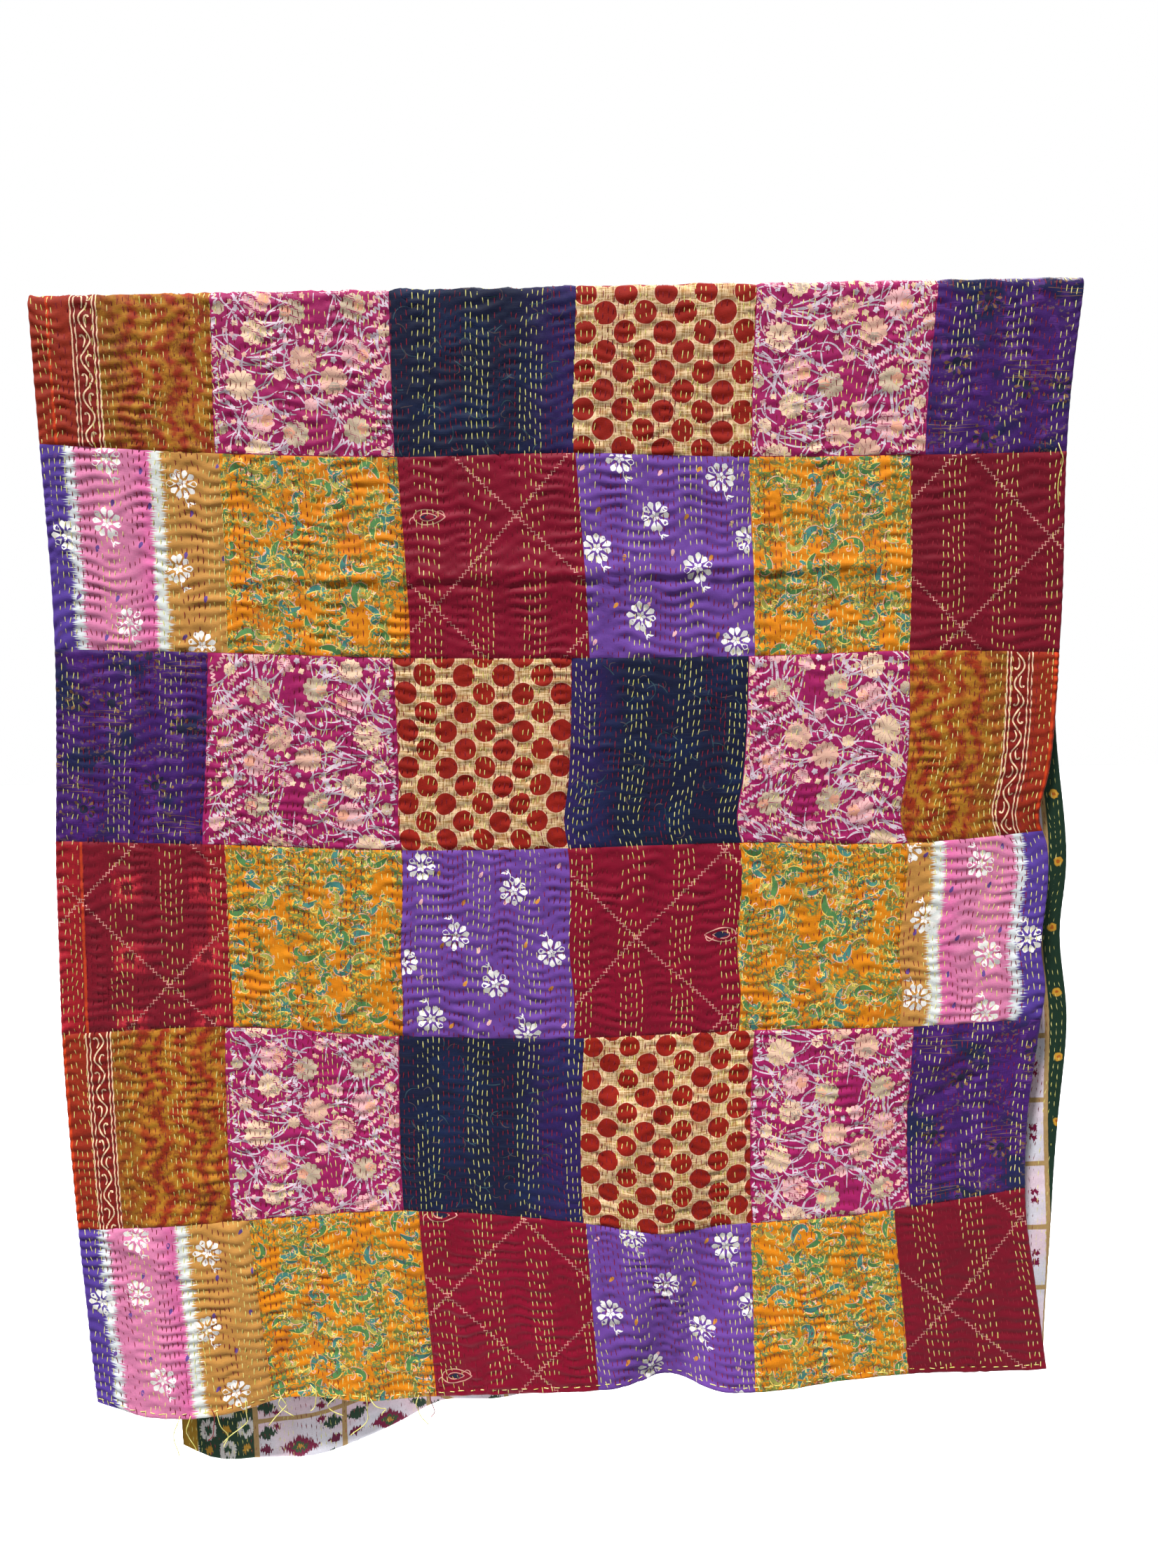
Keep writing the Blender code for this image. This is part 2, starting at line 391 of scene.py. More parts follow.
def creases(x, drop):
    """The creases listed for the front flap."""
    total = np.zeros(np.broadcast(x, drop).shape)
    for crease in CREASES:
        run = np.array([crease.x1 - crease.x0, crease.drop1 - crease.drop0])
        length = np.linalg.norm(run)
        run = run / length
        down = (x - crease.x0) * run[0] + (drop - crease.drop0) * run[1]
        off = (x - crease.x0) * run[1] - (drop - crease.drop0) * run[0]
        off = off + 0.003 * np.sin(down * 47)
        ends = np.clip(np.minimum(down, length - down) / (0.25 * length), 0, 1)
        total += crease.height * (3 - 2 * ends) * ends ** 2 * hump(off / crease.half_width)
    return total


def seam_line(line, across):
    """Where a row seam or a hem lies along the quilt."""
    if line == LAST_ROW:
        return HALF_TURN + curve(FRONT_HEM, "drop", across)
    if line >= 1:
        return HALF_TURN + curve(ROW_SEAMS, f"line{line}", across)
    hem = -HALF_TURN - curve(BACK_HEM, "drop", across)
    share = -line / LAST_ROW
    return FIRST_BACK_SEAM + (hem - FIRST_BACK_SEAM) * share + 0.004 * np.sin(5 * across + 3 * line) * share * (1 - share)


def make_strips():
    """The measured strips of the front, and even ones with small seeded shifts on the back."""
    rng = np.random.default_rng(5)
    strips = list(FRONT_STRIPS)
    for row in range(0, FIRST_ROW - 1, -1):
        strips.append(Strip(row, *(tuple(EVEN_SEAMS + rng.uniform(-0.008, 0.008, 5)) for _ in range(2))))
    return strips


STRIPS = make_strips()


def seam_distance(across, along):
    """How far a place is from the nearest seam between patches."""
    nearest = np.full(across.shape, 1.0)
    for strip in STRIPS:
        above = seam_line(strip.row - 1, across)
        below = seam_line(strip.row, across)
        share = (along - above) / (below - above)
        inside = (share >= -0.001) & (share <= 1.001)
        if not inside.any():
            continue
        gap = np.minimum(np.abs(along - above) if strip.row > FIRST_ROW else 1.0,
                         np.abs(along - below) if strip.row < LAST_ROW else 1.0)
        for top, bottom in zip(strip.top, strip.bottom):
            gap = np.minimum(gap, np.abs(across - top - (bottom - top) * share) * WIDTH)
        nearest = np.where(inside, np.minimum(gap, nearest), nearest)
    return nearest


def edge_distance(across, along):
    """How far a place is from the quilt's own edge."""
    sides = np.minimum(across, 1 - across) * WIDTH
    hems = np.minimum(seam_line(LAST_ROW, across) - along, along - seam_line(FIRST_ROW - 1, across))
    return np.clip(np.minimum(sides, hems), 0, None)


def rounding(edge):
    """0 at the quilt's edge, 1 past its rounded rim."""
    share = np.clip(edge / ROUND_EDGE, 0, 1)
    return np.sqrt(1 - (1 - share) ** 2)


def rise(across, along):
    """The fine relief of the outer face: puckers between stitches, seams and the turned hem."""
    x = across * WIDTH
    strength = 0.95 - 0.25 * across + 0.34 * waves(x, along, 0.07, 0.05, 3)
    ridge = puff(stitch_phase(x, along))
    edge = edge_distance(across, along)
    total = PUCKER * strength * ridge + 0.0006 * waves(x, along, 0.035, 0.02, 4)
    total = total - SEAM_DEPTH * np.exp(-(seam_distance(across, along) / SEAM_HALF_WIDTH) ** 2)
    return total + 0.0004 * hump((edge - HEM_WIDTH / 3) / (HEM_WIDTH / 2))


def middle_layer(across, along):
    """The middle of the cloth, out from the inner face of the solids. The creases bend both faces."""
    bend = np.where(along > 0, creases(across * WIDTH - WIDTH / 2, along - HALF_TURN), 0)
    return QUILT_THICKNESS / 2 + bend


def outer(across, along, lift=0.0):
    """Points on the patchwork face, rounded over to the middle of the cloth at the edges."""
    full = QUILT_THICKNESS / 2 + rise(across, along)
    return place(across, along, middle_layer(across, along) + full * rounding(edge_distance(across, along)) + lift)


def inner(across, along, lift=0.0):
    """Points on the backing's face, which has the same puckers the other way."""
    full = QUILT_THICKNESS / 2 + PUCKER * 0.6 * puff(stitch_phase(across * WIDTH, along) + 0.5)
    return place(across, along, middle_layer(across, along) - full * rounding(edge_distance(across, along)) - lift)


# Meshes

def make_piece(name, points, faces, material, maps=None, rides_on="root"):
    """A smooth mesh piece on the frame, with UV maps given for each point."""
    mesh = bpy.data.meshes.new(name)
    mesh.from_pydata(np.reshape(points, (-1, 3)).tolist(), [], faces)
    corners = np.empty(len(mesh.loops), dtype=np.int32)
    mesh.loops.foreach_get("vertex_index", corners)
    for title, values in (maps or {}).items():
        layer = mesh.uv_layers.new(name=title)
        layer.uv.foreach_set("vector", np.reshape(values, (-1, 2))[corners].astype(np.float32).ravel())
    mesh.shade_smooth()
    mesh.materials.append(material)
    piece = bpy.data.objects.new(name, mesh)
    bpy.context.scene.collection.objects.link(piece)
    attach(piece, rides_on)
    return piece


def grid_faces(rows, columns, flip=False):
    """Four-cornered faces of a grid of points."""
    start = np.arange(rows * columns).reshape(rows, columns)
    corners = [start[:-1, :-1], start[1:, :-1], start[1:, 1:], start[:-1, 1:]]
    if flip:
        corners.reverse()
    return np.stack([c.ravel() for c in corners], -1).tolist()


def stations(length, step, fine_start, fine_end):
    """Shares of a length at even steps, with closer ones towards a rounded edge."""
    close = np.array([0.0, 0.0004, 0.0011, 0.0022, 0.004]) / length
    even = np.linspace(0, 1, max(2, math.ceil(length / step) + 1))
    if fine_start:
        even = np.concatenate([close, even[even > close[-1] * 1.3]])
    if fine_end:
        even = np.concatenate([even[even < 1 - close[-1] * 1.3], 1 - close[::-1]])
    return even


class Patch:
    """One patch of the quilt: its place between the seams, and its own cloth."""

    def __init__(self, strip, column):
        self.row, self.column = strip.row, column
        self.turned = (strip.row - 1) % 4 >= 2
        kinds = ODD_ROW if strip.row % 2 else EVEN_ROW
        self.kind = OWN_CLOTH.get((self.row, column), kinds[5 - column] if self.turned else kinds[column])
        tops, bottoms = (0, *strip.top, 1), (0, *strip.bottom, 1)
        self.top = tops[column], tops[column + 1]
        self.bottom = bottoms[column], bottoms[column + 1]
        middle = sum(self.top + self.bottom) / 4
        self.width = WIDTH * (self.top[1] - self.top[0] + self.bottom[1] - self.bottom[0]) / 2
        self.height = float(seam_line(self.row, middle) - seam_line(self.row - 1, middle))
        self.front = self.row >= 1
        self.name = f"patch_{'front' if self.front else 'back'}_{self.row if self.front else 1 - self.row}_{column + 1}"
        self.cut = CUT.get((self.row, column), 0)
        self.seed = 100 + 10 * (self.row - FIRST_ROW) + column

    def spot(self, s, t):
        """The quilt's across and along for shares of the patch's own width and height."""
        top = self.top[0] + (self.top[1] - self.top[0]) * s
        bottom = self.bottom[0] + (self.bottom[1] - self.bottom[0]) * s
        across = top + (bottom - top) * t
        above, below = seam_line(self.row - 1, across), seam_line(self.row, across)
        return across, above + (below - above) * t

    def crossing(self, rng):
        """Where the feather stitches cross, in the cloth's own millimetres."""
        wide, high = self.width * 1000, self.height * 1000
        for row, column, x, y in CROSSINGS:
            if (row, column) == (self.row, self.column):
                return (wide - x, high - y) if self.turned else (x, y)
        return rng.uniform(20, wide - 20), rng.uniform(20, high - 20)

    def on_cloth(self, x, y, lift):
        """Points a little above the modelled cloth, for a place in the cloth's own millimetres."""
        s, t = np.clip(x / 1000 / self.width, 0.004, 0.996), np.clip(y / 1000 / self.height, 0.004, 0.996)
        if self.turned:
            s, t = 1 - s, 1 - t
        stations_s, stations_t, grid, normals = self.surface
        i = np.clip(np.searchsorted(stations_s, s) - 1, 0, len(stations_s) - 2)
        j = np.clip(np.searchsorted(stations_t, t) - 1, 0, len(stations_t) - 2)
        a = ((s - stations_s[i]) / (stations_s[i + 1] - stations_s[i]))[:, None]
        b = ((t - stations_t[j]) / (stations_t[j + 1] - stations_t[j]))[:, None]
        points, out = (
            (1 - b) * ((1 - a) * field[j, i] + a * field[j, i + 1])
            + b * ((1 - a) * field[j + 1, i] + a * field[j + 1, i + 1])
            for field in (grid, normals)
        )
        return points + out * lift, np.stack(self.spot(s, t), -1)

    def build(self, material):
        step = FRONT_STEP if self.front else BACK_STEP
        s = stations(self.width, step[0], self.column == 0, self.column == 5)
        t = stations(self.height, step[1], self.row == FIRST_ROW, self.row == LAST_ROW)
        shape = len(t), len(s)
        line_s, line_t = s, t
        s, t = (a.ravel() for a in np.meshgrid(s, t))
        across, along = self.spot(s, t)
        points = outer(across, along)
        grid = points.reshape(*shape, 3)
        normals = np.cross(np.gradient(grid, axis=0), np.gradient(grid, axis=1))
        normals /= np.linalg.norm(normals, axis=-1, keepdims=True)
        self.surface = line_s, line_t, grid, normals
        u, v = (1 - s, 1 - t) if self.turned else (s, t)
        cloth = np.stack([u * self.width + self.cut / 1000, v * self.height], -1)
        maps = {
            "OFBake": np.stack([0.01 + 0.98 * s, 0.99 - 0.98 * t], -1),
            "cloth": cloth,
            "dye": cloth + 0.37 * np.array([self.column, self.row - FIRST_ROW]),
        }
        piece = make_piece(self.name, points, grid_faces(*shape), material, maps)
        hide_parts("quilt_top")
        return piece


# Materials

BORDER_AT = 48  # the rust cloth's border of pale lines, from its left side


def rgb(code):
    """A six-figure colour code as linear colour."""
    parts = [int(code[i:i + 2], 16) / 255 for i in (0, 2, 4)]
    return tuple(c / 12.92 if c <= 0.04045 else ((c + 0.055) / 1.055) ** 2.4 for c in parts)


class Dye:
    """A cloth's node tree. Places are read in millimetres from the patch's corner."""

    def __init__(self, name, roughness=0.8, sheen=0.04):
        self.material = bpy.data.materials.new(name)
        self.material.use_nodes = True
        self.tree = self.material.node_tree
        self.shader = self.tree.nodes["Principled BSDF"]
        self.shader.inputs["Roughness"].default_value = roughness
        self.shader.inputs["Sheen Weight"].default_value = sheen
        self.shader.inputs["Sheen Roughness"].default_value = 0.4
        self.shader.inputs["Specular IOR Level"].default_value = 0.16
        print_map = self.add("ShaderNodeUVMap", uv_map="cloth")
        self.dye_map = self.add("ShaderNodeUVMap", uv_map="dye")
        split = self.tree.nodes.new("ShaderNodeSeparateXYZ")
        self.feed(split.inputs[0], print_map)
        self.u = self.math("MULTIPLY", split.outputs[0], 1000)
        self.v = self.math("MULTIPLY", split.outputs[1], 1000)

    def feed(self, socket, value):
        if isinstance(value, bpy.types.NodeSocket):
            self.tree.links.new(value, socket)
        elif isinstance(value, tuple) and len(value) == 3 and socket.type == "RGBA":
            socket.default_value = (*value, 1)
        else:
            socket.default_value = value

    def add(self, kind, *values, **settings):
        node = self.tree.nodes.new(kind)
        for key, value in settings.items():
            setattr(node, key, value)
        for socket, value in zip(node.inputs, values):
            self.feed(socket, value)
        return node.outputs[0]

    def math(self, operation, *values):
        return self.add("ShaderNodeMath", *values, operation=operation)

    def mix(self, share, low, high, blend="MIX"):
        node = self.tree.nodes.new("ShaderNodeMix")
        node.data_type = "RGBA"
        node.blend_type = blend
        for socket, value in zip((node.inputs[0], node.inputs[6], node.inputs[7]), (share, low, high)):
            self.feed(socket, value)
        return node.outputs[2]

    def noise(self, wide, high, detail=2.0, shift=0.0):
        """Uneven 0 to 1 with features of a size in millimetres."""
        place = self.add("ShaderNodeVectorMath", self.dye_map, (1000 / wide, 1000 / high, 1), operation="MULTIPLY")
        place = self.add("ShaderNodeVectorMath", place, (shift, shift, shift), operation="ADD")
        node = self.tree.nodes.new("ShaderNodeTexNoise")
        self.feed(node.inputs["Vector"], place)
        node.inputs["Scale"].default_value = 1.0
        node.inputs["Detail"].default_value = detail
        return node.outputs[0]

    def step(self, value, at, soft):
        """0 below a value and 1 above it, with a soft edge."""
        node = self.tree.nodes.new("ShaderNodeMapRange")
        node.interpolation_type = "SMOOTHSTEP"
        self.feed(node.inputs[0], value)
        self.feed(node.inputs[1], self.math("SUBTRACT", at, soft))
        self.feed(node.inputs[2], self.math("ADD", at, soft))
        return node.outputs[0]

    def band(self, value, low, high, soft):
        """1 between two values, with soft edges."""
        return self.math("SUBTRACT", self.step(value, low, soft), self.step(value, high, soft))

    def spread(self, noise, amount):
        """A noise about 0, of an amount either way."""
        return self.math("MULTIPLY", self.math("SUBTRACT", noise, 0.5), 2 * amount)

    def shift(self, value, noise, amount):
        return self.math("ADD", value, self.spread(noise, amount))

    def finish(self, colour, slub=0.25, weave=0.5):
        """Adds uneven dye, slubs and weave to a colour, and ends the tree."""
        blotch = self.spread(self.noise(28, 34, 3), 0.22)
        threads = self.spread(self.noise(1.1, 5.5, 1, 5), slub)
        picks = self.spread(self.noise(6.0, 1.0, 1, 9), slub)
        shade = self.math("ADD", self.math("ADD", 1.0, blotch), self.math("ADD", threads, picks))
        toned = self.mix(1.0, colour, self.add("ShaderNodeCombineColor", shade, shade, shade), "MULTIPLY")
        self.feed(self.shader.inputs["Base Color"], toned)
        height = self.math("ADD", self.noise(1.3, 1.3, 1, 3), self.math("ADD", threads, picks))
        bump = self.tree.nodes.new("ShaderNodeBump")
        bump.inputs["Strength"].default_value = weave
        bump.inputs["Distance"].default_value = 0.0003
        self.feed(bump.inputs["Height"], height)
        self.feed(self.shader.inputs["Normal"], bump.outputs[0])
        return self.material


def rust_cloth():
    """Rust with upright zigzag streaks of mustard, and a border of pale lines near the left side."""
    dye = Dye("rust_cloth", 0.7)
    zigzag = dye.math("MULTIPLY", dye.math("PINGPONG", dye.v, 36), 0.62)
    place = dye.math("ADD", dye.math("ADD", dye.u, zigzag), dye.spread(dye.noise(24, 30, 2), 12))
    wave = dye.math("SINE", dye.math("MULTIPLY", place, 2 * math.pi / 26))
    wave = dye.shift(wave, dye.noise(9, 5, 3, 6), 2.0)
    colour = dye.mix(dye.step(wave, 0.1, 1.2), rgb("8E2A12"), rgb("A4701E"))
    olive = dye.math("SUBTRACT", 1.0, dye.step(dye.shift(dye.u, dye.noise(20, 30), 10), BORDER_AT + 58, 14))
    colour = dye.mix(dye.math("MULTIPLY", olive, 0.55), colour, rgb("7C4A14"))
    fleck = dye.step(dye.math("MULTIPLY", dye.noise(2.6, 4, 1, 4), dye.noise(30, 30, 1, 12)), 0.30, 0.02)
    colour = dye.mix(dye.math("MULTIPLY", fleck, 0.5), colour, rgb("64200C"))
    bright = dye.step(dye.noise(16, 20, 2, 8), 0.60, 0.08)
    colour = dye.mix(dye.math("MULTIPLY", bright, 0.5), colour, rgb("BE7C28"))
    border = dye.math("SUBTRACT", 1.0, dye.step(dye.u, BORDER_AT + 31, 1.0))
    colour = dye.mix(border, colour, dye.mix(dye.noise(26, 60, 2, 3), rgb("7E1E10"), rgb("942E16")))
    thin = dye.band(dye.shift(dye.u, dye.noise(12, 40), 1.5), BORDER_AT - 28, BORDER_AT - 25, 0.8)
    colour = dye.mix(dye.math("MULTIPLY", thin, 0.8), colour, rgb("C83C14"))
    colour = dye.mix(dye.band(dye.u, BORDER_AT, BORDER_AT + 31, 1), colour, rgb("74160E"))
    wobble = dye.shift(dye.u, dye.noise(30, 12), 1.4)
    for at in (0.7, 5.2, 26.2, 30.4):
        line = dye.band(wobble, BORDER_AT + at - 0.75, BORDER_AT + at + 0.75, 0.35)
        colour = dye.mix(line, colour, rgb("EBC8A4"))
    return dye.finish(colour)


def floral_cloth():
    dye = Dye("floral_cloth", 0.6, 0.06)
    return dye.finish(dye.mix(dye.noise(40, 40), rgb("8C1550"), rgb("9E1E5E")), 0.15)


def navy_cloth():
    dye = Dye("navy_cloth", 0.7, 0.0)
    fade = dye.step(dye.shift(dye.u, dye.noise(50, 60), 14), 175, 34)
    colour = dye.mix(fade, rgb("050C28"), rgb("281850"))
    lit = dye.step(dye.noise(70, 45, 2, 4), 0.56, 0.08)
    colour = dye.mix(dye.math("MULTIPLY", lit, 0.5), colour, rgb("0E1F42"))
    streak = dye.step(dye.noise(60, 1.6, 1, 7), 0.62, 0.04)
    colour = dye.mix(dye.math("MULTIPLY", streak, 0.22), colour, rgb("283248"))
    return dye.finish(colour, 0.3)


def dots_cloth():
    dye = Dye("dots_cloth", 0.75)
    hatch = dye.math("ADD", dye.noise(22, 1.5, 2, 2), dye.noise(1.5, 22, 2, 6))
    colour = dye.mix(dye.step(hatch, 1.02, 0.16), rgb("DFC096"), rgb("9A7440"))
    colour = dye.mix(dye.math("MULTIPLY", dye.step(dye.noise(16, 10, 2, 8), 0.58, 0.06), 0.5), colour, rgb("A56A36"))
    inside = None
    for half in (0, 1):
        u = dye.math("PINGPONG", dye.math("ADD", dye.u, 23.3 * half + 12), 23.3)
        v = dye.math("PINGPONG", dye.math("ADD", dye.shift(dye.v, dye.noise(60, 300, 0, 11), 3), 22 * half + 9), 22)
        far = dye.math("SQRT", dye.math("ADD", dye.math("POWER", u, 2), dye.math("POWER", v, 2)))
        far = dye.shift(far, dye.noise(14, 14, 1, 3), 1.3)
        spot = dye.math("SUBTRACT", 1.0, dye.step(far, 13.3, 0.35))
        rim = dye.band(far, 13.4, 14.3, 0.3)
        colour = dye.mix(dye.math("MULTIPLY", rim, 0.4), colour, rgb("F0C8B0"))
        inside = spot if inside is None else dye.math("MAXIMUM", inside, spot)
    red = dye.mix(dye.noise(24, 24, 2, 13), rgb("7A1208"), rgb("941D10"))
    return dye.finish(dye.mix(inside, colour, red), 0.16)


def violet_cloth():
    dye = Dye("violet_cloth", 0.62, 0.02)
    blue = dye.step(dye.noise(75, 55, 2, 1), 0.57, 0.06)
    colour = dye.mix(blue, rgb("37155A"), rgb("161840"))
    for wide, at, share, tone in ((26, 0.60, 0.55, "5E307E"), (44, 0.58, 0.45, "4C1C70")):
        block = dye.step(dye.noise(wide, wide, 1, wide), at, 0.02)
        streaks = dye.step(dye.noise(14, 1.3, 1, 4), 0.44, 0.08)
        colour = dye.mix(dye.math("MULTIPLY", dye.math("MULTIPLY", block, streaks), share), colour, rgb(tone))
    specks = dye.math("MULTIPLY", dye.step(dye.noise(30, 30, 1, 12), 0.56, 0.04), dye.step(dye.noise(5, 4, 2, 9), 0.58, 0.03))
    colour = dye.mix(dye.math("MULTIPLY", specks, 0.6), colour, rgb("6E5540"))
    return dye.finish(colour, 0.3)


def stripe_cloth():
    dye = Dye("stripe_cloth", 0.75)
    ragged = dye.spread(dye.noise(60, 1.5, 2, 2), 13)
    u = dye.math("ADD", dye.math("ADD", dye.u, ragged), dye.spread(dye.noise(80, 40, 1, 5), 4))
    colour = rgb("4E3688")
    for at, soft, tone in (
        (28.5, 2.4, "CDD2D4"), (40, 2.4, "CC789E"), (112, 12, "CE669A"), (128, 2.4, "D4D8D4"), (142, 2.4, "B68240"),
    ):
        colour = dye.mix(dye.step(u, at, soft), colour, rgb(tone))
    return dye.finish(colour, 0.14)


def scroll_cloth():
    """An orange ground with fine printed foliage behind the larger scrolls."""
    dye = Dye("scroll_cloth", 0.7)
    faded = dye.step(dye.noise(16, 110, 2, 3), 0.60, 0.05)
    colour = dye.mix(dye.noise(60, 40), rgb("C8720C"), rgb("DC8814"))
    colour = dye.mix(dye.math("MULTIPLY", faded, 0.5), colour, rgb("C46A18"))
    clumps = dye.step(dye.noise(34, 40, 1, 14), 0.47, 0.04)
    for size, at, half, tone in ((13, 0.47, 0.024, "D6B23E"), (13, 0.52, 0.026, "4E7E3A"), (9, 0.50, 0.034, "3E724C"),
                                 (7, 0.40, 0.034, "6C6A2E")):
        vine = dye.band(dye.noise(size, size, 1.2, size + at), at - half, at + half, 0.008)
        colour = dye.mix(dye.math("MULTIPLY", vine, dye.math("MULTIPLY", clumps, 0.8)), colour, rgb(tone))
    return dye.finish(colour, 0.16)


def maroon_cloth():
    dye = Dye("maroon_cloth", 0.6, 0.02)
    colour = dye.mix(dye.noise(90, 60), rgb("6C021C"), rgb("820428"))
    return dye.finish(colour, 0.12)


def ruby_cloth():
    dye = Dye("ruby_cloth", 0.6, 0.02)
    return dye.finish(dye.mix(dye.noise(90, 60), rgb("600418"), rgb("720620")), 0.12)


def ikat_cloth():
    """A wine red cloth with streaky brighter squares, and an orange line near one side."""
    dye = Dye("ikat_cloth", 0.6, 0.02)
    side = dye.math("SUBTRACT", 212.0, dye.u)
    v = dye.math("ADD", dye.v, dye.spread(dye.noise(1.6, 26, 2, 2), 9))
    colour = dye.mix(dye.noise(60, 90, 1, 4), rgb("62081A"), rgb("780C20"))
    colour = dye.mix(dye.math("SUBTRACT", 1.0, dye.step(side, 30, 5)), colour, rgb("8E1420"))
    colour = dye.mix(dye.math("MULTIPLY", dye.step(side, 186, 3), 0.6), colour, rgb("961A24"))
    far_u = dye.math("PINGPONG", dye.math("SUBTRACT", dye.shift(dye.u, dye.noise(26, 1.6, 2, 6), 4), 124), 48)
    far_v = dye.math("PINGPONG", dye.math("SUBTRACT", v, 92), 43)
    far = dye.math("MAXIMUM", far_u, far_v)
    for size, share, tone in ((19, 0.65, "9C1C2C"), (12, 0.6, "B8303A"), (7, 0.9, "540614")):
        inside = dye.math("SUBTRACT", 1.0, dye.step(far, size, 1.0))
        colour = dye.mix(dye.math("MULTIPLY", inside, share), colour, rgb(tone))
    colour = dye.mix(dye.math("MULTIPLY", dye.band(side, 31, 34.5, 1), 0.8), colour, rgb("C0401C"))
    return dye.finish(colour, 0.3)


def posy_cloth():
    dye = Dye("posy_cloth", 0.7)
    return dye.finish(dye.mix(dye.noise(80, 60), rgb("5E3888"), rgb("6C4498")), 0.12)


def backing_cloth():
    """The backing's print, read in millimetres from its left edge and up from below the front hem over the fold."""
    dye = Dye("backing_cloth", 0.8)
    u = dye.math("ADD", dye.u, dye.spread(dye.noise(26, 1.8, 2, 12), 4))
    v = dye.math("ADD", dye.v, dye.spread(dye.noise(2.2, 26, 2, 2), 11))
    field = dye.mix(dye.step(dye.noise(90, 90, 1, 4), 0.5, 0.1), rgb("D2D0DA"), rgb("DFC6D2"))
    ground = field
    cell_u = dye.math("SUBTRACT", 59.5, dye.math("PINGPONG", dye.math("SUBTRACT", u, 104), 59.5))
    cell_v = dye.math("SUBTRACT", 42.5, dye.math("PINGPONG", dye.math("ADD", v, GRID_SHIFT), 42.5))

    def figure(under, at_u, at_v, half_u, half_v, tone):
        far_u = dye.math("DIVIDE", dye.math("ABSOLUTE", dye.math("SUBTRACT", cell_u, at_u)), half_u)
        far_v = dye.math("DIVIDE", dye.math("ABSOLUTE", dye.math("SUBTRACT", cell_v, at_v)), half_v)
        inside = dye.math("SUBTRACT", 1.0, dye.step(dye.math("ADD", far_u, far_v), 1.0, 0.07))
        return dye.mix(inside, under, rgb(tone))

    for row in (
        (0, 0, 28, 16, "6E1038"), (0, 0, 13, 9, "2A4A2C"), (0, 0, 6, 4, "B07A30"),
        (44, 24, 15, 10, "17301F"), (30, 33, 7, 5, "6E1038"), (46, 0, 10, 7, "5E1034"),
    ):
        field = figure(field, *row)
    ends = dye.math("MULTIPLY", dye.step(dye.v, 2520, 200), 26)
    right = dye.math("ADD", dye.math("SUBTRACT", WIDTH * 1000, dye.u), ends)
    bar_u = dye.math("DIVIDE", dye.math("ABSOLUTE", dye.math("SUBTRACT", dye.shift(right, dye.noise(26, 1.8, 2, 12), 3), 43)), 5)
    bar_v = dye.math("DIVIDE", dye.math("ABSOLUTE", dye.math("SUBTRACT", cell_v, 6)), 3.4)
    bars = dye.math("SUBTRACT", 1.0, dye.step(dye.math("MAXIMUM", bar_u, bar_v), 1.0, 0.08))
    plain = dye.mix(bars, ground, rgb("6E1038"))
    field = dye.mix(dye.step(dye.u, 1010, 1), field, plain)
    lines_u = dye.math("PINGPONG", dye.math("SUBTRACT", dye.shift(dye.u, dye.noise(120, 120, 1, 7), 4), 104), 59.5)
    lines_v = dye.math("PINGPONG", dye.math("ADD", dye.shift(dye.v, dye.noise(120, 120, 1, 7), 4), GRID_SHIFT), 42.5)
    for line in (lines_u, lines_v):
        field = dye.mix(dye.math("SUBTRACT", 1.0, dye.step(line, 3.2, 0.5)), field, rgb("A98A5B"))
    # left border: mustard, then green with pale and gold figures, then a tan line
    figures = dye.math("MULTIPLY", dye.math("SINE", dye.math("MULTIPLY", u, 2 * math.pi / 52)),
                       dye.math("SINE", dye.math("MULTIPLY", v, 2 * math.pi / 58)))
    green = dye.mix(dye.step(figures, 0.22, 0.05), rgb("16301F"), rgb("D6D2D0"))
    green = dye.mix(dye.step(figures, 0.80, 0.05), green, rgb("1E3A28"))
    green = dye.mix(dye.step(dye.math("MULTIPLY", figures, -1), 0.80, 0.05), green, rgb("B98A2E"))
    colour = dye.mix(dye.math("SUBTRACT", 1.0, dye.step(dye.u, 108, 0.6)), field, rgb("A98A5B"))
    colour = dye.mix(dye.math("SUBTRACT", 1.0, dye.step(dye.u, 101, 0.6)), colour, green)
    colour = dye.mix(dye.math("SUBTRACT", 1.0, dye.step(dye.u, 23, 1.0)), colour, rgb("B0862C"))
    # right border: green with gold flowers, which slips off the edge further down, with a tan line inside it
    bloom = dye.math("PINGPONG", dye.math("ADD", dye.v, GRID_SHIFT - 28), 42.5)
    bloom = dye.math("SQRT", dye.math("ADD", dye.math("POWER", bloom, 2),
                                      dye.math("POWER", dye.math("SUBTRACT", right, 11), 2)))
    bloom = dye.shift(bloom, dye.noise(5, 5, 1, 5), 2.4)
    trim = dye.mix(dye.math("SUBTRACT", 1.0, dye.step(bloom, 5.6, 0.8)), rgb("12291C"), rgb("C2902F"))
    trim = dye.mix(dye.math("SUBTRACT", 1.0, dye.step(bloom, 2.2, 0.5)), trim, rgb("A8561C"))
    colour = dye.mix(dye.math("SUBTRACT", 1.0, dye.step(right, 29, 0.5)), colour, rgb("A98A5B"))
    colour = dye.mix(dye.math("SUBTRACT", 1.0, dye.step(right, 23, 0.5)), colour, trim)
    return dye.finish(colour, 0.14)


def thread(name, tone, deep):
    """A cotton thread, paler and deeper from stitch to stitch."""
    dye = Dye(name, 0.6)
    uneven = dye.step(dye.noise(7, 7, 1), 0.5, 0.25)
    dye.feed(dye.shader.inputs["Base Color"], dye.mix(uneven, rgb(deep), rgb(tone)))
    return dye.material


def ink(name, tone, deep=None):
    """A printed colour, with the cloth's weave in it."""
    dye = Dye(name, 0.75)
    return dye.finish(dye.mix(dye.noise(22, 22), rgb(deep or tone), rgb(tone)), 0.14)


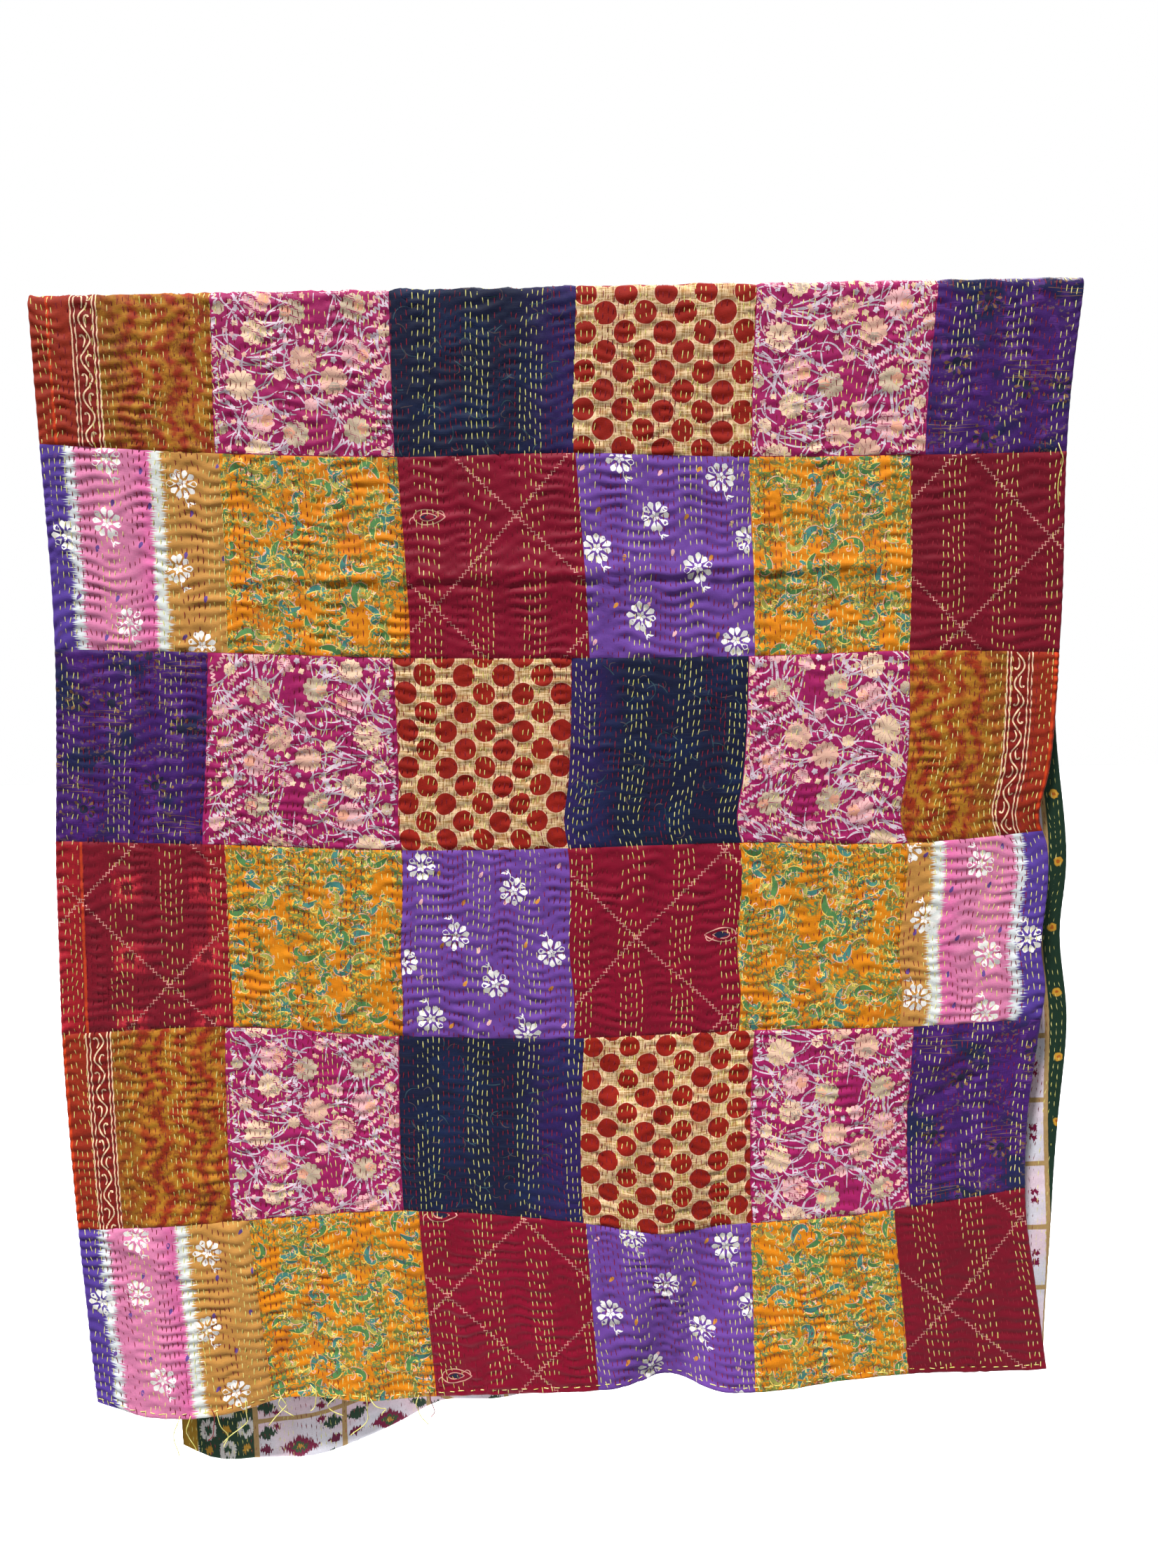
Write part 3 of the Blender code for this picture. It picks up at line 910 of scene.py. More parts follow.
CLOTHS = {
    "rust": rust_cloth(),
    "floral": floral_cloth(),
    "navy": navy_cloth(),
    "dots": dots_cloth(),
    "violet": violet_cloth(),
    "stripe": stripe_cloth(),
    "scroll": scroll_cloth(),
    "maroon": maroon_cloth(),
    "ruby": ruby_cloth(),
    "ikat": ikat_cloth(),
    "posy": posy_cloth(),
}


# Printed shapes. Charts are in millimetres from a patch's own left top corner

CREEPER_BEND = 22
HOOK = [(-2.4, 9.0, 1.3), (-0.5, 3.0, 1.7), (-0.9, -2.0, 1.8), (-3.0, -4.8, 1.9), (-5.4, -4.2, 2.2), (-5.6, -2.6, 2.8)]

Blossom = namedtuple("Blossom", "x y radius lobes ink")
BLOSSOMS = [
    Blossom(55, 30, 18, 11, "blush"),
    Blossom(96, 45, 16, 10, "putty"),
    Blossom(167, 40, 16, 10, "putty"),
    Blossom(51, 67, 16, 12, "cream"),
    Blossom(107, 98, 17, 11, "peach"),
    Blossom(169, 91, 18, 10, "blush"),
    Blossom(142, 121, 17, 11, "peach"),
    Blossom(34, 127, 18, 12, "cream"),
    Blossom(134, 72, 10, 7, "blush"),
    Blossom(115, 12, 8, 6, "blush"),
    Blossom(10, 40, 8, 7, "putty"),
    Blossom(19, 90, 9, 7, "cream"),
    Blossom(214, 16, 10, 7, "blush"),
    Blossom(203, 66, 8, 6, "cream"),
    Blossom(208, 112, 10, 7, "peach"),
    Blossom(80, 114, 8, 6, "cream"),
]
FLORETS = [(29, 57), (28, 73), (17, 64), (71, 68), (82, 66), (73, 80), (113, 66), (118, 78), (103, 71), (125, 68),
           (136, 86), (125, 92), (131, 101), (143, 98), (88, 76), (30, 102), (4, 56)]
Leaf = namedtuple("Leaf", "x y length turn bow width")
LEAVES = [
    Leaf(58, 5, 44, 25, 6, 4.2),
    Leaf(118, 3, 48, 50, -9, 3.8),
    Leaf(26, 20, 38, 92, -5, 3.4),
    Leaf(6, 8, 30, 40, -5, 3.6),
    Leaf(28, 36, 60, 20, 8, 3.2),
    Leaf(70, 63, 22, -24, 3, 4.0),
    Leaf(94, 75, 56, 158, -7, 4.8),
    Leaf(48, 98, 44, 26, -5, 2.4),
    Leaf(90, 86, 34, 84, 7, 2.2),
    Leaf(88, 118, 26, -4, 5, 2.8),
    Leaf(111, 118, 18, 94, 2, 3.6),
    Leaf(160, 60, 20, 118, -4, 3.2),
    Leaf(196, 66, 30, 82, 4, 3.6),
    Leaf(186, 18, 40, 36, -7, 3.0),
    Leaf(192, 28, 32, 48, -5, 2.2),
    Leaf(170, 2, 26, 38, 4, 3.6),
    Leaf(2, 70, 24, 56, 4, 2.8),
    Leaf(12, 82, 32, 40, 5, 3.0),
    Leaf(0, 134, 32, 22, -5, 3.0),
    Leaf(48, 140, 30, -14, 4, 2.4),
]
Squiggle = namedtuple("Squiggle", "x y length turn ink")
SQUIGGLES = [
    Squiggle(128, 12, 26, -35, "blush"),
    Squiggle(136, 22, 34, -32, "vein"),
    Squiggle(148, 26, 26, -30, "blush"),
    Squiggle(166, 12, 26, -38, "vein"),
    Squiggle(178, 22, 24, -30, "blush"),
    Squiggle(196, 6, 20, -24, "vein"),
    Squiggle(186, 40, 26, -50, "blush"),
    Squiggle(176, 56, 34, -36, "vein"),
    Squiggle(190, 62, 22, -48, "blush"),
    Squiggle(184, 78, 30, -40, "vein"),
    Squiggle(190, 96, 24, -52, "blush"),
    Squiggle(160, 112, 36, -34, "vein"),
    Squiggle(166, 124, 44, -38, "blush"),
    Squiggle(176, 132, 42, -36, "vein"),
    Squiggle(126, 134, 22, -60, "blush"),
    Squiggle(192, 128, 28, -40, "blush"),
    Squiggle(3, 20, 20, 70, "vein"),
    Squiggle(4, 50, 18, 100, "vein"),
    Squiggle(3, 76, 20, 85, "blush"),
    Squiggle(4, 104, 26, 80, "vein"),
    Squiggle(12, 120, 22, -40, "blush"),
    Squiggle(150, 52, 14, 20, "vein"),
    Squiggle(206, 34, 26, -40, "vein"),
    Squiggle(222, 44, 26, 80, "blush"),
    Squiggle(206, 90, 26, -62, "blush"),
    Squiggle(212, 104, 22, -36, "vein"),
    Squiggle(218, 134, 26, -66, "vein"),
    Squiggle(228, 90, 24, 84, "vein"),
]
FLORAL_REPEAT = (234, 136)

Scroll = namedtuple("Scroll", "x y size turn hand ink")
SCROLLS = [
    Scroll(58, 42, 52, -80, 1, "teal"),
    Scroll(76, 50, 50, -10, -1, "green"),
    Scroll(70, 52, 46, 130, -1, "green"),
    Scroll(100, 44, 54, -30, 1, "green"),
    Scroll(104, 36, 40, 200, 1, "teal"),
    Scroll(10, 52, 44, 60, 1, "green"),
    Scroll(34, 74, 50, 10, -1, "teal"),
    Scroll(24, 112, 46, -60, 1, "teal"),
    Scroll(36, 122, 40, 20, -1, "green"),
    Scroll(96, 104, 58, -90, -1, "green"),
    Scroll(100, 112, 44, -40, 1, "teal"),
    Scroll(92, 128, 48, 150, 1, "teal"),
    Scroll(122, 132, 46, 20, -1, "green"),
    Scroll(98, 138, 42, 90, -1, "green"),
    Scroll(160, 126, 54, -110, 1, "green"),
    Scroll(168, 124, 46, 20, 1, "teal"),
    Scroll(156, 118, 38, -30, -1, "lemon_leaf"),
    Scroll(150, 66, 46, 120, -1, "teal"),
    Scroll(184, 48, 50, -100, 1, "green"),
    Scroll(190, 52, 44, 40, -1, "teal"),
    Scroll(176, 80, 38, 150, 1, "green"),
    Scroll(14, 168, 46, -50, 1, "green"),
    Scroll(34, 176, 44, 20, -1, "green"),
    Scroll(66, 166, 40, 100, 1, "lemon_leaf"),
    Scroll(72, 178, 50, -60, -1, "teal"),
    Scroll(112, 176, 52, -10, 1, "green"),
    Scroll(136, 168, 42, 60, -1, "lemon_leaf"),
    Scroll(160, 184, 48, 190, 1, "teal"),
    Scroll(196, 170, 50, -110, -1, "green"),
    Scroll(206, 176, 38, 30, 1, "teal"),
    Scroll(212, 96, 44, 210, -1, "green"),
    Scroll(214, 20, 42, 150, 1, "teal"),
    Scroll(132, 10, 44, 10, -1, "green"),
    Scroll(26, 16, 40, 100, -1, "lemon_leaf"),
    Scroll(58, 98, 40, -20, 1, "lemon_leaf"),
]
SCROLL_REPEAT = (228, 192)

STRIPE_POSIES = [(75, 12), (163, 37), (70, 86), (21, 102), (152, 136), (90, 200), (178, 226)]
PURPLE_POSIES = [(55, 5), (173, 24), (93, 70), (204, 96), (21, 108), (140, 130), (69, 186), (184, 216)]

Shape = namedtuple("Shape", "ink points faces")


def stroke(ink, rows, step=3.2):
    """A line of ink through rows of x, y and width. A step of 0 keeps its corners sharp."""
    rows = np.asarray(rows, float)
    if step:
        knots = np.concatenate([[0], np.cumsum(np.linalg.norm(np.diff(rows[:, :2], axis=0), axis=1))])
        rows = through(knots, rows, np.linspace(0, knots[-1], max(3, math.ceil(knots[-1] / step) + 1)))
    run = np.gradient(rows[:, :2], axis=0)
    side = np.stack([-run[:, 1], run[:, 0]], -1) / (np.linalg.norm(run, axis=1, keepdims=True) + 1e-9)
    half = np.clip(rows[:, 2:], 0.1, None) / 2
    points = np.stack([rows[:, :2] + side * half, rows[:, :2] - side * half], 1).reshape(-1, 2)
    start = 2 * np.arange(len(rows) - 1)
    return Shape(ink, points, np.stack([start, start + 1, start + 3, start + 2], -1))


def bowed(ink, x, y, length, turn, bow, width, tip=0.4):
    """A tapered stroke from a place, turned in degrees clockwise from the right, with a bow to one side."""
    turn = math.radians(turn)
    run = np.array([math.cos(turn), math.sin(turn)])
    side = np.array([-run[1], run[0]])
    places = [np.array([x, y]) + run * length * s + side * bow * 4 * s * (1 - s) for s in (0, 0.3, 0.65, 1)]
    return stroke(ink, [(*spot, width * share) for spot, share in zip(places, (tip, 1, 0.8, tip * 0.6))])


def bloom(ink, x, y, radius, lobes, dent, turn=0.0):
    """A filled round shape with a lobed rim, in cells of about three millimetres."""
    count = max(4, round(radius / 1.5))
    a, b = (g.ravel() for g in np.meshgrid(np.linspace(-1, 1, count + 1), np.linspace(-1, 1, count + 1)))
    px, py = a * np.sqrt(1 - b ** 2 / 2), b * np.sqrt(1 - a ** 2 / 2)
    far = np.hypot(px, py)
    rim = 1 - dent * (1 - np.abs(np.sin(lobes / 2 * (np.arctan2(py, px) + turn)))) * far
    points = np.stack([x + radius * px * rim, y + radius * py * rim], -1)
    return Shape(ink, points, np.array(grid_faces(count + 1, count + 1)))


def blossom(x, y, radius, lobes, ink, rng):
    """A scalloped flower with fine darker lines between its petals."""
    shapes = [bloom(ink, x, y, radius, lobes, 0.20)]
    for k in range(lobes):
        angle = 2 * math.pi * k / lobes + rng.normal(0, 0.08)
        run = np.array([math.cos(angle), math.sin(angle)])
        places = [np.array([x, y]) + run * radius * s for s in (0.25 + rng.uniform(0, 0.15), 0.6, 0.86)]
        shapes.append(stroke("petal_line", [(*spot, w) for spot, w in zip(places, (0.3, 0.8, 0.3))]))
    if radius > 12 and rng.random() < 0.7:
        tone = "putty" if ink in ("peach", "cream") else "peach"
        angle = rng.uniform(0, 2 * math.pi)
        spot = x + radius * 0.45 * math.cos(angle), y + radius * 0.45 * math.sin(angle)
        shapes.append(bloom(tone + "_wash", *spot, radius * 0.42, 5, 0.25, angle))
    return shapes


def squiggle(x, y, length, turn, ink):
    """A small zigzag line."""
    count = round(length / 2.8)
    turn = math.radians(turn)
    run = np.array([math.cos(turn), math.sin(turn)])
    side = np.array([-run[1], run[0]])
    rows = [(*(np.array([x, y]) + run * length * k / count + side * (2.6 if k % 2 else -2.6)), 2.0)
            for k in range(count + 1)]
    return stroke(ink, rows, 1.5)


def floral_shapes():
    rng = np.random.default_rng(71)
    shapes = []
    for leaf in LEAVES:
        shapes.append(bowed("vein", *leaf))
        for _ in range(3):
            shapes.append(bowed("vein", leaf.x + rng.uniform(-6, 16), leaf.y + rng.uniform(-6, 14),
                                rng.uniform(18, 34), leaf.turn + rng.uniform(-50, 50), rng.uniform(-6, 6), 1.7, 0.8))
    for x, y, radius, lobes, ink in BLOSSOMS:
        for _ in range(5 if radius > 12 else 2):
            angle = rng.uniform(0, 360)
            shapes.append(bowed("vein", x + radius * math.cos(math.radians(angle)) * 0.9,
                                y + radius * math.sin(math.radians(angle)) * 0.9, rng.uniform(22, 46),
                                angle + rng.uniform(-30, 30), rng.uniform(-8, 8), 2.0, 0.7))
        shapes += blossom(x, y, radius, lobes, ink, rng)
    shapes += [squiggle(*row) for row in SQUIGGLES]
    for k, (x, y) in enumerate(FLORETS):
        shapes.append(bloom(("cream", "vein", "blush")[k % 3], x, y, 4.2, 4 + k % 2, 0.45, k))
    for k in range(60):
        x, y = rng.uniform(0, FLORAL_REPEAT[0]), rng.uniform(0, FLORAL_REPEAT[1])
        if min(math.hypot(x - row.x, y - row.y) - row.radius for row in BLOSSOMS) > 4:
            shapes.append(bloom(("blush", "vein", "peach")[k % 3], x, y, 3.6, 5, 0.5, k))
    return shapes


def curl(x, y, size, turn, hand, tight=0.065):
    """The spine of a curling leaf: rows of x, y and heading."""
    angle = math.radians(turn)
    spot = np.array([x, y], float)
    spine = []
    for k in range(11):
        spine.append((*spot, angle))
        spot = spot + size / 9 * (1 - 0.05 * k) * np.array([math.cos(angle), math.sin(angle)])
        angle += hand * (0.10 + tight * k)
    return np.array(spine)


def scroll(x, y, size, turn, hand, ink):
    """A curling leaf with pale edges and a fringe, and smaller pale curls that branch off it."""
    spine = curl(x, y, size, turn, hand)
    width = size * 0.17 * np.array([0.3, 0.6, 0.85, 1, 1, 0.95, 0.8, 0.7, 0.6, 0.5, 0.3])
    side = np.stack([-np.sin(spine[:, 2]), np.cos(spine[:, 2])], -1)
    shapes = [stroke(ink, np.column_stack([spine[:, :2], width]), 4)]
    for edge, tone in ((0.62, "lemon"), (-0.62, "peach")):
        line = spine[:, :2] + side * (width * edge)[:, None]
        shapes.append(stroke(tone, np.column_stack([line, np.full(11, 0.9)]), 4))
    for k, share in ((1, 0.50), (3, 0.56), (5, 0.44), (7, 0.36)):
        branch = -hand if k % 4 == 1 else hand
        small = curl(*spine[k, :2], size * share, math.degrees(spine[k, 2]) + 75 * branch, branch, 0.12)
        tone = ("lemon", "peach", "green", "teal")[(k // 2 + int(x)) % 4]
        shapes.append(stroke(tone, np.column_stack([small[:, :2], np.full(11, 1.3 if k < 5 else 1.9)])))
    for k in range(1, 10, 2):
        root = spine[k, :2] - side[k] * hand * width[k] * 0.6
        tone = "lemon" if k % 4 == 1 else ink
        shapes.append(bowed(tone, *root, size * 0.10, math.degrees(spine[k, 2]) - 70 * hand, 0, 1.3))
    return shapes


def scroll_shapes():
    shapes = []
    for k, (x, y, size, turn, hand, ink) in enumerate(SCROLLS):
        shapes += scroll(x, y, size * 0.84, turn, hand, ink)
        tone = ("green", "lemon_leaf", "teal")[k % 3]
        shapes += scroll(x + 21 - 40 * (k % 2), y + 17 - 29 * (k % 3), size * 0.66, turn + 140, -hand, tone)
    return shapes


def posy(x, y, rng):
    """A white flower of drop-shaped petals, with a stem and leaves."""
    shapes = []
    first = rng.uniform(0, 36)
    for k in range(10):
        turn = first + 36 * k + rng.normal(0, 3)
        shapes.append(petal("white_ink", x, y, 6.8, 17.4 + rng.uniform(-1, 1), turn, 7.2))
    for k in range(5):
        shapes.append(petal("white_ink", x, y, 0.6, 6.4, first + 72 * k, 5.0))
    shapes.append(bowed("white_ink", x + 4, y + 15, 12, 60, 3, 1.1, 0.8))
    for turn in (10, 100):
        shapes.append(bowed("white_ink", x + 8, y + 21, 7, turn, 1, 2.6))
    return shapes


def petal(ink, x, y, near, far, turn, width):
    """A drop that points at the middle of a flower."""
    turn = math.radians(turn)
    run = np.array([math.cos(turn), math.sin(turn)])
    rows = [(*(np.array([x, y]) + run * (near + (far - near) * s)), width * share)
            for s, share in ((0, 0.1), (0.35, 0.6), (0.75, 1), (1, 0.25))]
    return stroke(ink, rows)


def posy_shapes(places, inks, seed):
    rng = np.random.default_rng(seed)
    shapes = [shape for x, y in places for shape in posy(x, y, rng)]
    for k in range(24):
        x, y = 14 + 47 * (k % 5) + 22 * (k // 5 % 2), 18 + 48 * (k // 5)
        x, y = x + rng.uniform(-9, 9), y + rng.uniform(-9, 9)
        if min(math.hypot(x - px, y - py) for px, py in places) > 20:
            shapes.append(bowed(inks[k % len(inks)], x, y, 8, 120 + rng.uniform(-20, 20), 0, 4.6, 0.5))
    return shapes


def feather_lattice():
    """Two families of zigzag feather stitches that cross at the origin and again and again around it."""
    shapes = []
    gap, reach = 212, 320
    for k in (-2, -1, 0, 1, 2):
        for hand in (1, -1):
            start = np.array([k * gap - reach, -reach * hand])
            count = int(2 * reach / 2.0)
            run = np.array([1, hand]) * 2 * reach / count
            side = np.array([-hand, 1]) * 1.3
            rows = [(*(start + run * j + side * (j % 2 * 2 - 1)), 1.25) for j in range(count + 1)]
            shapes.append(stroke("feather", rows, 0))
    return shapes


def droplet():
    """A small outlined drop with a curled tip and a dark heart."""
    at = np.linspace(0.0, 2 * math.pi, 26)
    rim = np.column_stack([16 * np.cos(at) + 2, 9 * np.sin(at) * np.sin(at / 2) ** 0.7, np.full(26, 1.1)])
    core = rim * (0.55, 0.5, 0.8)
    return [stroke("feather", rim), petal("night", 0, 0, -7, 8, 0, 7.5), stroke("feather", core),
            bowed("feather", 17, 0, 9, 200, 5, 1.1, 0.8), bowed("feather", -14, 0, 8, 120, 2, 1.1, 0.8)]


def maroon_shapes():
    shapes = feather_lattice()
    for x in (-106, 106):
        for y in (-212, 0, 212):
            shapes += [Shape(shape.ink, shape.points * 1.2 + (x, y), shape.faces) for shape in droplet()]
    return shapes


def rust_shapes():
    """The border's creeper between its pale lines, with a hooked shoot in every bend."""
    middle = BORDER_AT + 15.6
    at = np.arange(-4, 270, 3)
    creeper = middle + 5.9 * np.sin(math.pi * at / CREEPER_BEND)
    shapes = [stroke("sand", np.column_stack([creeper, at, np.full(len(at), 1.9)]))]
    for k in range(-1, 12):
        y, hand = CREEPER_BEND * (k + 0.5), -1 if k % 2 else 1
        hook = [(middle + hand * x, y + down, width) for x, down, width in HOOK]
        shapes.append(stroke("sand", hook, 2.0))
    return shapes


def violet_shapes():
    """Faint gold lines, petal fans with dark hearts and small gold buds."""
    rng = np.random.default_rng(88)
    shapes = []
    for x, y, rows in ((6, 14, 5), (130, 60, 3), (95, 140, 5), (5, 205, 4)):
        for k in range(rows):
            place = x + rng.uniform(-8, 8), y + 4.6 * k
            shapes.append(bowed("gold", *place, rng.uniform(40, 70), rng.normal(0, 2), 1, 0.6, 1))
    for x, y, turn in ((60, 70, 0), (148, 40, 40), (30, 140, -30), (115, 168, 20), (155, 172, 200), (190, 100, 60), (70, 225, 0)):
        for k in range(9):
            shapes.append(petal(("gold", "night")[k % 2], x, y, 7.5, 15, turn + 26 * k, 4.0))
        shapes.append(bloom("night", x, y, 5.5, 6, 0.1))
    for _ in range(26):
        shapes.append(bloom("gold", rng.uniform(5, 230), rng.uniform(5, 240), 1.8, 3, 0.1))
    return shapes


def navy_shapes():
    rng = np.random.default_rng(93)
    shapes = []
    for _ in range(34):
        x, y, turn = rng.uniform(5, 205), rng.uniform(5, 240), rng.uniform(0, 360)
        shapes.append(bowed("moss", x, y, rng.uniform(12, 26), turn, rng.uniform(-7, 7), 1.3, 0.8))
        shapes.append(bowed("bark", x + 4, y + 5, rng.uniform(8, 16), turn + 80, rng.uniform(-6, 6), 1.2, 0.8))
    return shapes


PRINTED = {
    "floral": (floral_shapes, FLORAL_REPEAT, 60),
    "scroll": (scroll_shapes, SCROLL_REPEAT, 90),
    "stripe": (lambda: posy_shapes(STRIPE_POSIES, ("plum",), 61), None, 0),
    "posy": (lambda: posy_shapes(PURPLE_POSIES, ("blush", "ochre"), 62), None, 0),
    "maroon": (maroon_shapes, None, 0),
    "ruby": (feather_lattice, None, 0),
    "ikat": (feather_lattice, None, 0),
    "rust": (rust_shapes, None, 0),
    "violet": (violet_shapes, None, 0),
    "navy": (navy_shapes, None, 0),
}


def join(shapes):
    """The shapes of each ink as one set of points and faces."""
    joined = {}
    for shape in shapes:
        points, faces = joined.setdefault(shape.ink, ([], []))
        faces.append(shape.faces + sum(len(p) for p in points))
        points.append(shape.points)
    return {ink: (np.concatenate(points), np.concatenate(faces)) for ink, (points, faces) in joined.items()}


def lay_print(patch, points, faces, repeat, shift):
    """A cloth's printed shapes of one ink on one patch, cut off at its seams: places and faces."""
    points = points + shift
    wide, high = patch.width * 1000, patch.height * 1000
    if repeat:
        tiles = [(repeat[0] * i, repeat[1] * j) for i in (-1, 0, 1) for j in (-2, -1, 0, 1, 2)]
        faces = np.concatenate([faces + len(points) * k for k in range(len(tiles))])
        points = np.concatenate([points + tile for tile in tiles])
    middle = points[faces].mean(1)
    faces = faces[((middle > 0.5) & (middle < (wide - 0.5, high - 0.5))).all(1)]
    used, faces = np.unique(faces, return_inverse=True)
    faces = faces.reshape(-1, 4)
    x, y = points[used].T
    corner = points[used][faces]
    area = np.sum(corner[..., 0] * np.roll(corner[..., 1], -1, 1) - corner[..., 1] * np.roll(corner[..., 0], -1, 1), 1)
    faces[area > 0] = faces[area > 0][:, ::-1]
    return x, y, faces


def build_prints(patches, inks):
    """All printed shapes, one mesh for each ink on each side."""
    gathered = {}
    for kind, (draw, repeat, slide) in PRINTED.items():
        joined = join(draw())
        for patch in (p for p in patches if p.kind == kind):
            rng = np.random.default_rng(patch.seed)
            shift = (rng.uniform(-5, 5), rng.uniform(-1, 1) * slide)
            if kind in ("maroon", "ruby", "ikat"):
                shift = patch.crossing(rng)
            elif kind == "rust":
                shift = (-patch.cut, 0)
            for ink, (points, faces) in joined.items():
                x, y, faces = lay_print(patch, points, faces, repeat, shift)
                if len(faces):
                    lift = PRINT_LIFT + PRINT_LAYER * list(inks).index(ink)
                    gathered.setdefault((ink, patch.front), []).append((*patch.on_cloth(x, y, lift), faces))
    pieces = []
    for (ink, front), lots in gathered.items():
        starts = np.cumsum([0] + [len(lot[0]) for lot in lots])
        points, places = (np.concatenate([lot[i] for lot in lots]) for i in (0, 1))
        faces = np.concatenate([lot[2] + start for lot, start in zip(lots, starts)]).tolist()
        low, high = places.min(0), places.max(0)
        flat = 0.02 + 0.96 * (places - low) / (high - low)
        maps = {"OFBake": flat, "cloth": flat, "dye": places * (WIDTH, 1)}
        name = f"print_{ink}_{'front' if front else 'back'}"
        piece = make_piece(name, points, faces, inks[ink], maps)
        piece.visible_shadow = False
        pieces.append(piece)
    return pieces


INKS = {
    "vein": ink("vein_ink", "D2C2CC", "BDAAB8"),
    "blush": ink("blush_ink", "E6B4B0", "D79CA6"),
    "putty": ink("putty_ink", "C8B49A", "B09C86"),
    "cream": ink("cream_ink", "EBCFAE", "DDB69C"),
    "peach": ink("peach_ink", "E2B3A0", "CFA28E"),
    "putty_wash": ink("putty_wash", "B8A392", "A08E80"),
    "peach_wash": ink("peach_wash", "E8A48A", "D89A80"),
    "petal_line": ink("petal_line", "B98486", "A67272"),
    "teal": ink("teal_ink", "4A8476", "38706C"),
    "green": ink("green_ink", "58884C", "427344"),
    "lemon_leaf": ink("lemon_leaf_ink", "A8A048", "86904A"),
    "lemon": ink("lemon_ink", "E6C860", "D2B258"),
    "plum": ink("plum_ink", "6A4A92", "543A7C"),
    "ochre": ink("ochre_ink", "C88A3C", "B0702C"),
    "white_ink": ink("white_ink", "EFEDE6", "DCD8D6"),
    "night": ink("night_ink", "1E1E38", "181830"),
    "feather": ink("feather_ink", "D8A596", "C08478"),
    "sand": ink("sand_ink", "EED2AE", "E0BC94"),
    "gold": ink("gold_ink", "84603F", "5E4238"),
    "moss": ink("moss_ink", "2E4450", "263A44"),
    "bark": ink("bark_ink", "4A3E42", "3E3438"),
}


# Patchwork and backing

def build_backing():
    """The backing, one sheet over the whole quilt, with its face inwards."""
    first, last = -1.55, 1.45
    shares = stations(WIDTH, BACKING_STEP[0], True, True)
    along_shares = stations(last - first, BACKING_STEP[1], True, True)
    s, t = (a.ravel() for a in np.meshgrid(shares, along_shares))
    top, bottom = seam_line(LAST_ROW, s), seam_line(FIRST_ROW - 1, s)
    along = top + (bottom - top) * t
    cloth = np.stack([s * WIDTH, last - along], -1)
    maps = {"OFBake": np.stack([0.01 + 0.98 * s, 0.01 + 0.98 * t], -1), "cloth": cloth, "dye": cloth + 7}
    rows = len(along_shares)
    piece = make_piece("backing", inner(s, along), grid_faces(rows, len(shares)), backing_cloth(), maps)
    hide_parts("quilt_backing")
    return piece


# A stitch as a small bead: how far its points are along it, to its side and off the cloth, and its faces
BEADS = {
    "round": ((-1, -0.6, -0.6, -0.6, 0.6, 0.6, 0.6, 1), (0, -1, 0, 1, -1, 0, 1, 0),
              (-0.2, 0.0, 0.75, 0.0, 0.0, 0.75, 0.0, -0.2),
              ((0, 1, 2), (0, 2, 3), (1, 4, 5, 2), (2, 5, 6, 3), (7, 5, 4), (7, 6, 5))),
    "plain": ((-1, 0, 0, 0, 1), (0, -1.2, 0, 1.2, 0), (0.1, 0.0, 0.9, 0.0, 0.1),
              ((0, 1, 2), (0, 2, 3), (4, 2, 1), (4, 3, 2))),
}


def lay_stitches(name, x, along, lean, half, material, face_of, plain=False):
    """Stitches as one mesh of small beads. Each leans by an angle from straight down the quilt."""
    width = STITCH_WIDTH / 2
    run, side, lift, shape = BEADS["plain" if plain else "round"]
    down = half[:, None] * np.array(run)
    off = width * np.array(side)[None, :]
    px = x[:, None] + down * np.sin(lean)[:, None] + off * np.cos(lean)[:, None]
    pa = along[:, None] + down * np.cos(lean)[:, None] - off * np.sin(lean)[:, None]
    faces = [[corner + len(run) * k for corner in face] for k in range(len(x)) for face in shape]
    if face_of is inner:
        faces = [f[::-1] for f in faces]
    across, along = px.ravel() / WIDTH, pa.ravel()
    low, high = along.min(), along.max()
    flat = np.stack([0.02 + 0.96 * across, 0.02 + 0.96 * (along - low) / (high - low)], -1)
    maps = {"OFBake": flat, "cloth": flat, "dye": np.stack([across * WIDTH, along], -1)}
    points = face_of(across, along, np.tile(np.array(lift) * 0.001, len(x)))
    return make_piece(name, points, faces, material, maps)


def build_stitches(name, lines, first, last, material, face_of, seed, plain=False):
    """Running stitches down the quilt on some of its lines. Inside, only a margin along the edges has them."""
    rng = np.random.default_rng(seed)
    count_first = math.floor(first / STITCH_PITCH) - 4
    count_last = math.ceil(last / STITCH_PITCH) + 4
    line, count = (a.ravel() for a in np.meshgrid(lines, np.arange(count_first, count_last)))
    x = FIRST_LINE + line * LINE_GAP
    along = count * STITCH_PITCH
    x = x + 0.0012 * waves(line, along, 9, 0.22, 21) + rng.normal(0, 0.0003, len(x))
    drift = 0.10 * np.sin(line * 2.4) + rng.normal(0, 0.05, len(x)) + (0.5 if face_of is inner else 0)
    for _ in range(8):
        along = along - 0.8 * (stitch_phase(x, along) - count - drift) * STITCH_PITCH
    across = x / WIDTH
    edge = edge_distance(across, along)
    keep = (along > first) & (along < last) & (edge > 0.004) & (rng.random(len(x)) > 0.02)
    if face_of is inner:
        keep &= edge < SEEN_MARGIN
    x, along, line = x[keep], along[keep], line[keep]
    lean = 0.12 * waves(line, along, 6, 0.3, 22) + rng.normal(0, 0.07, len(x))
    half = STITCH_LENGTH / 2 * rng.normal(1, 0.15, len(x)).clip(0.6, 1.35)
    return lay_stitches(name, x, along, lean, half, material, face_of, plain)


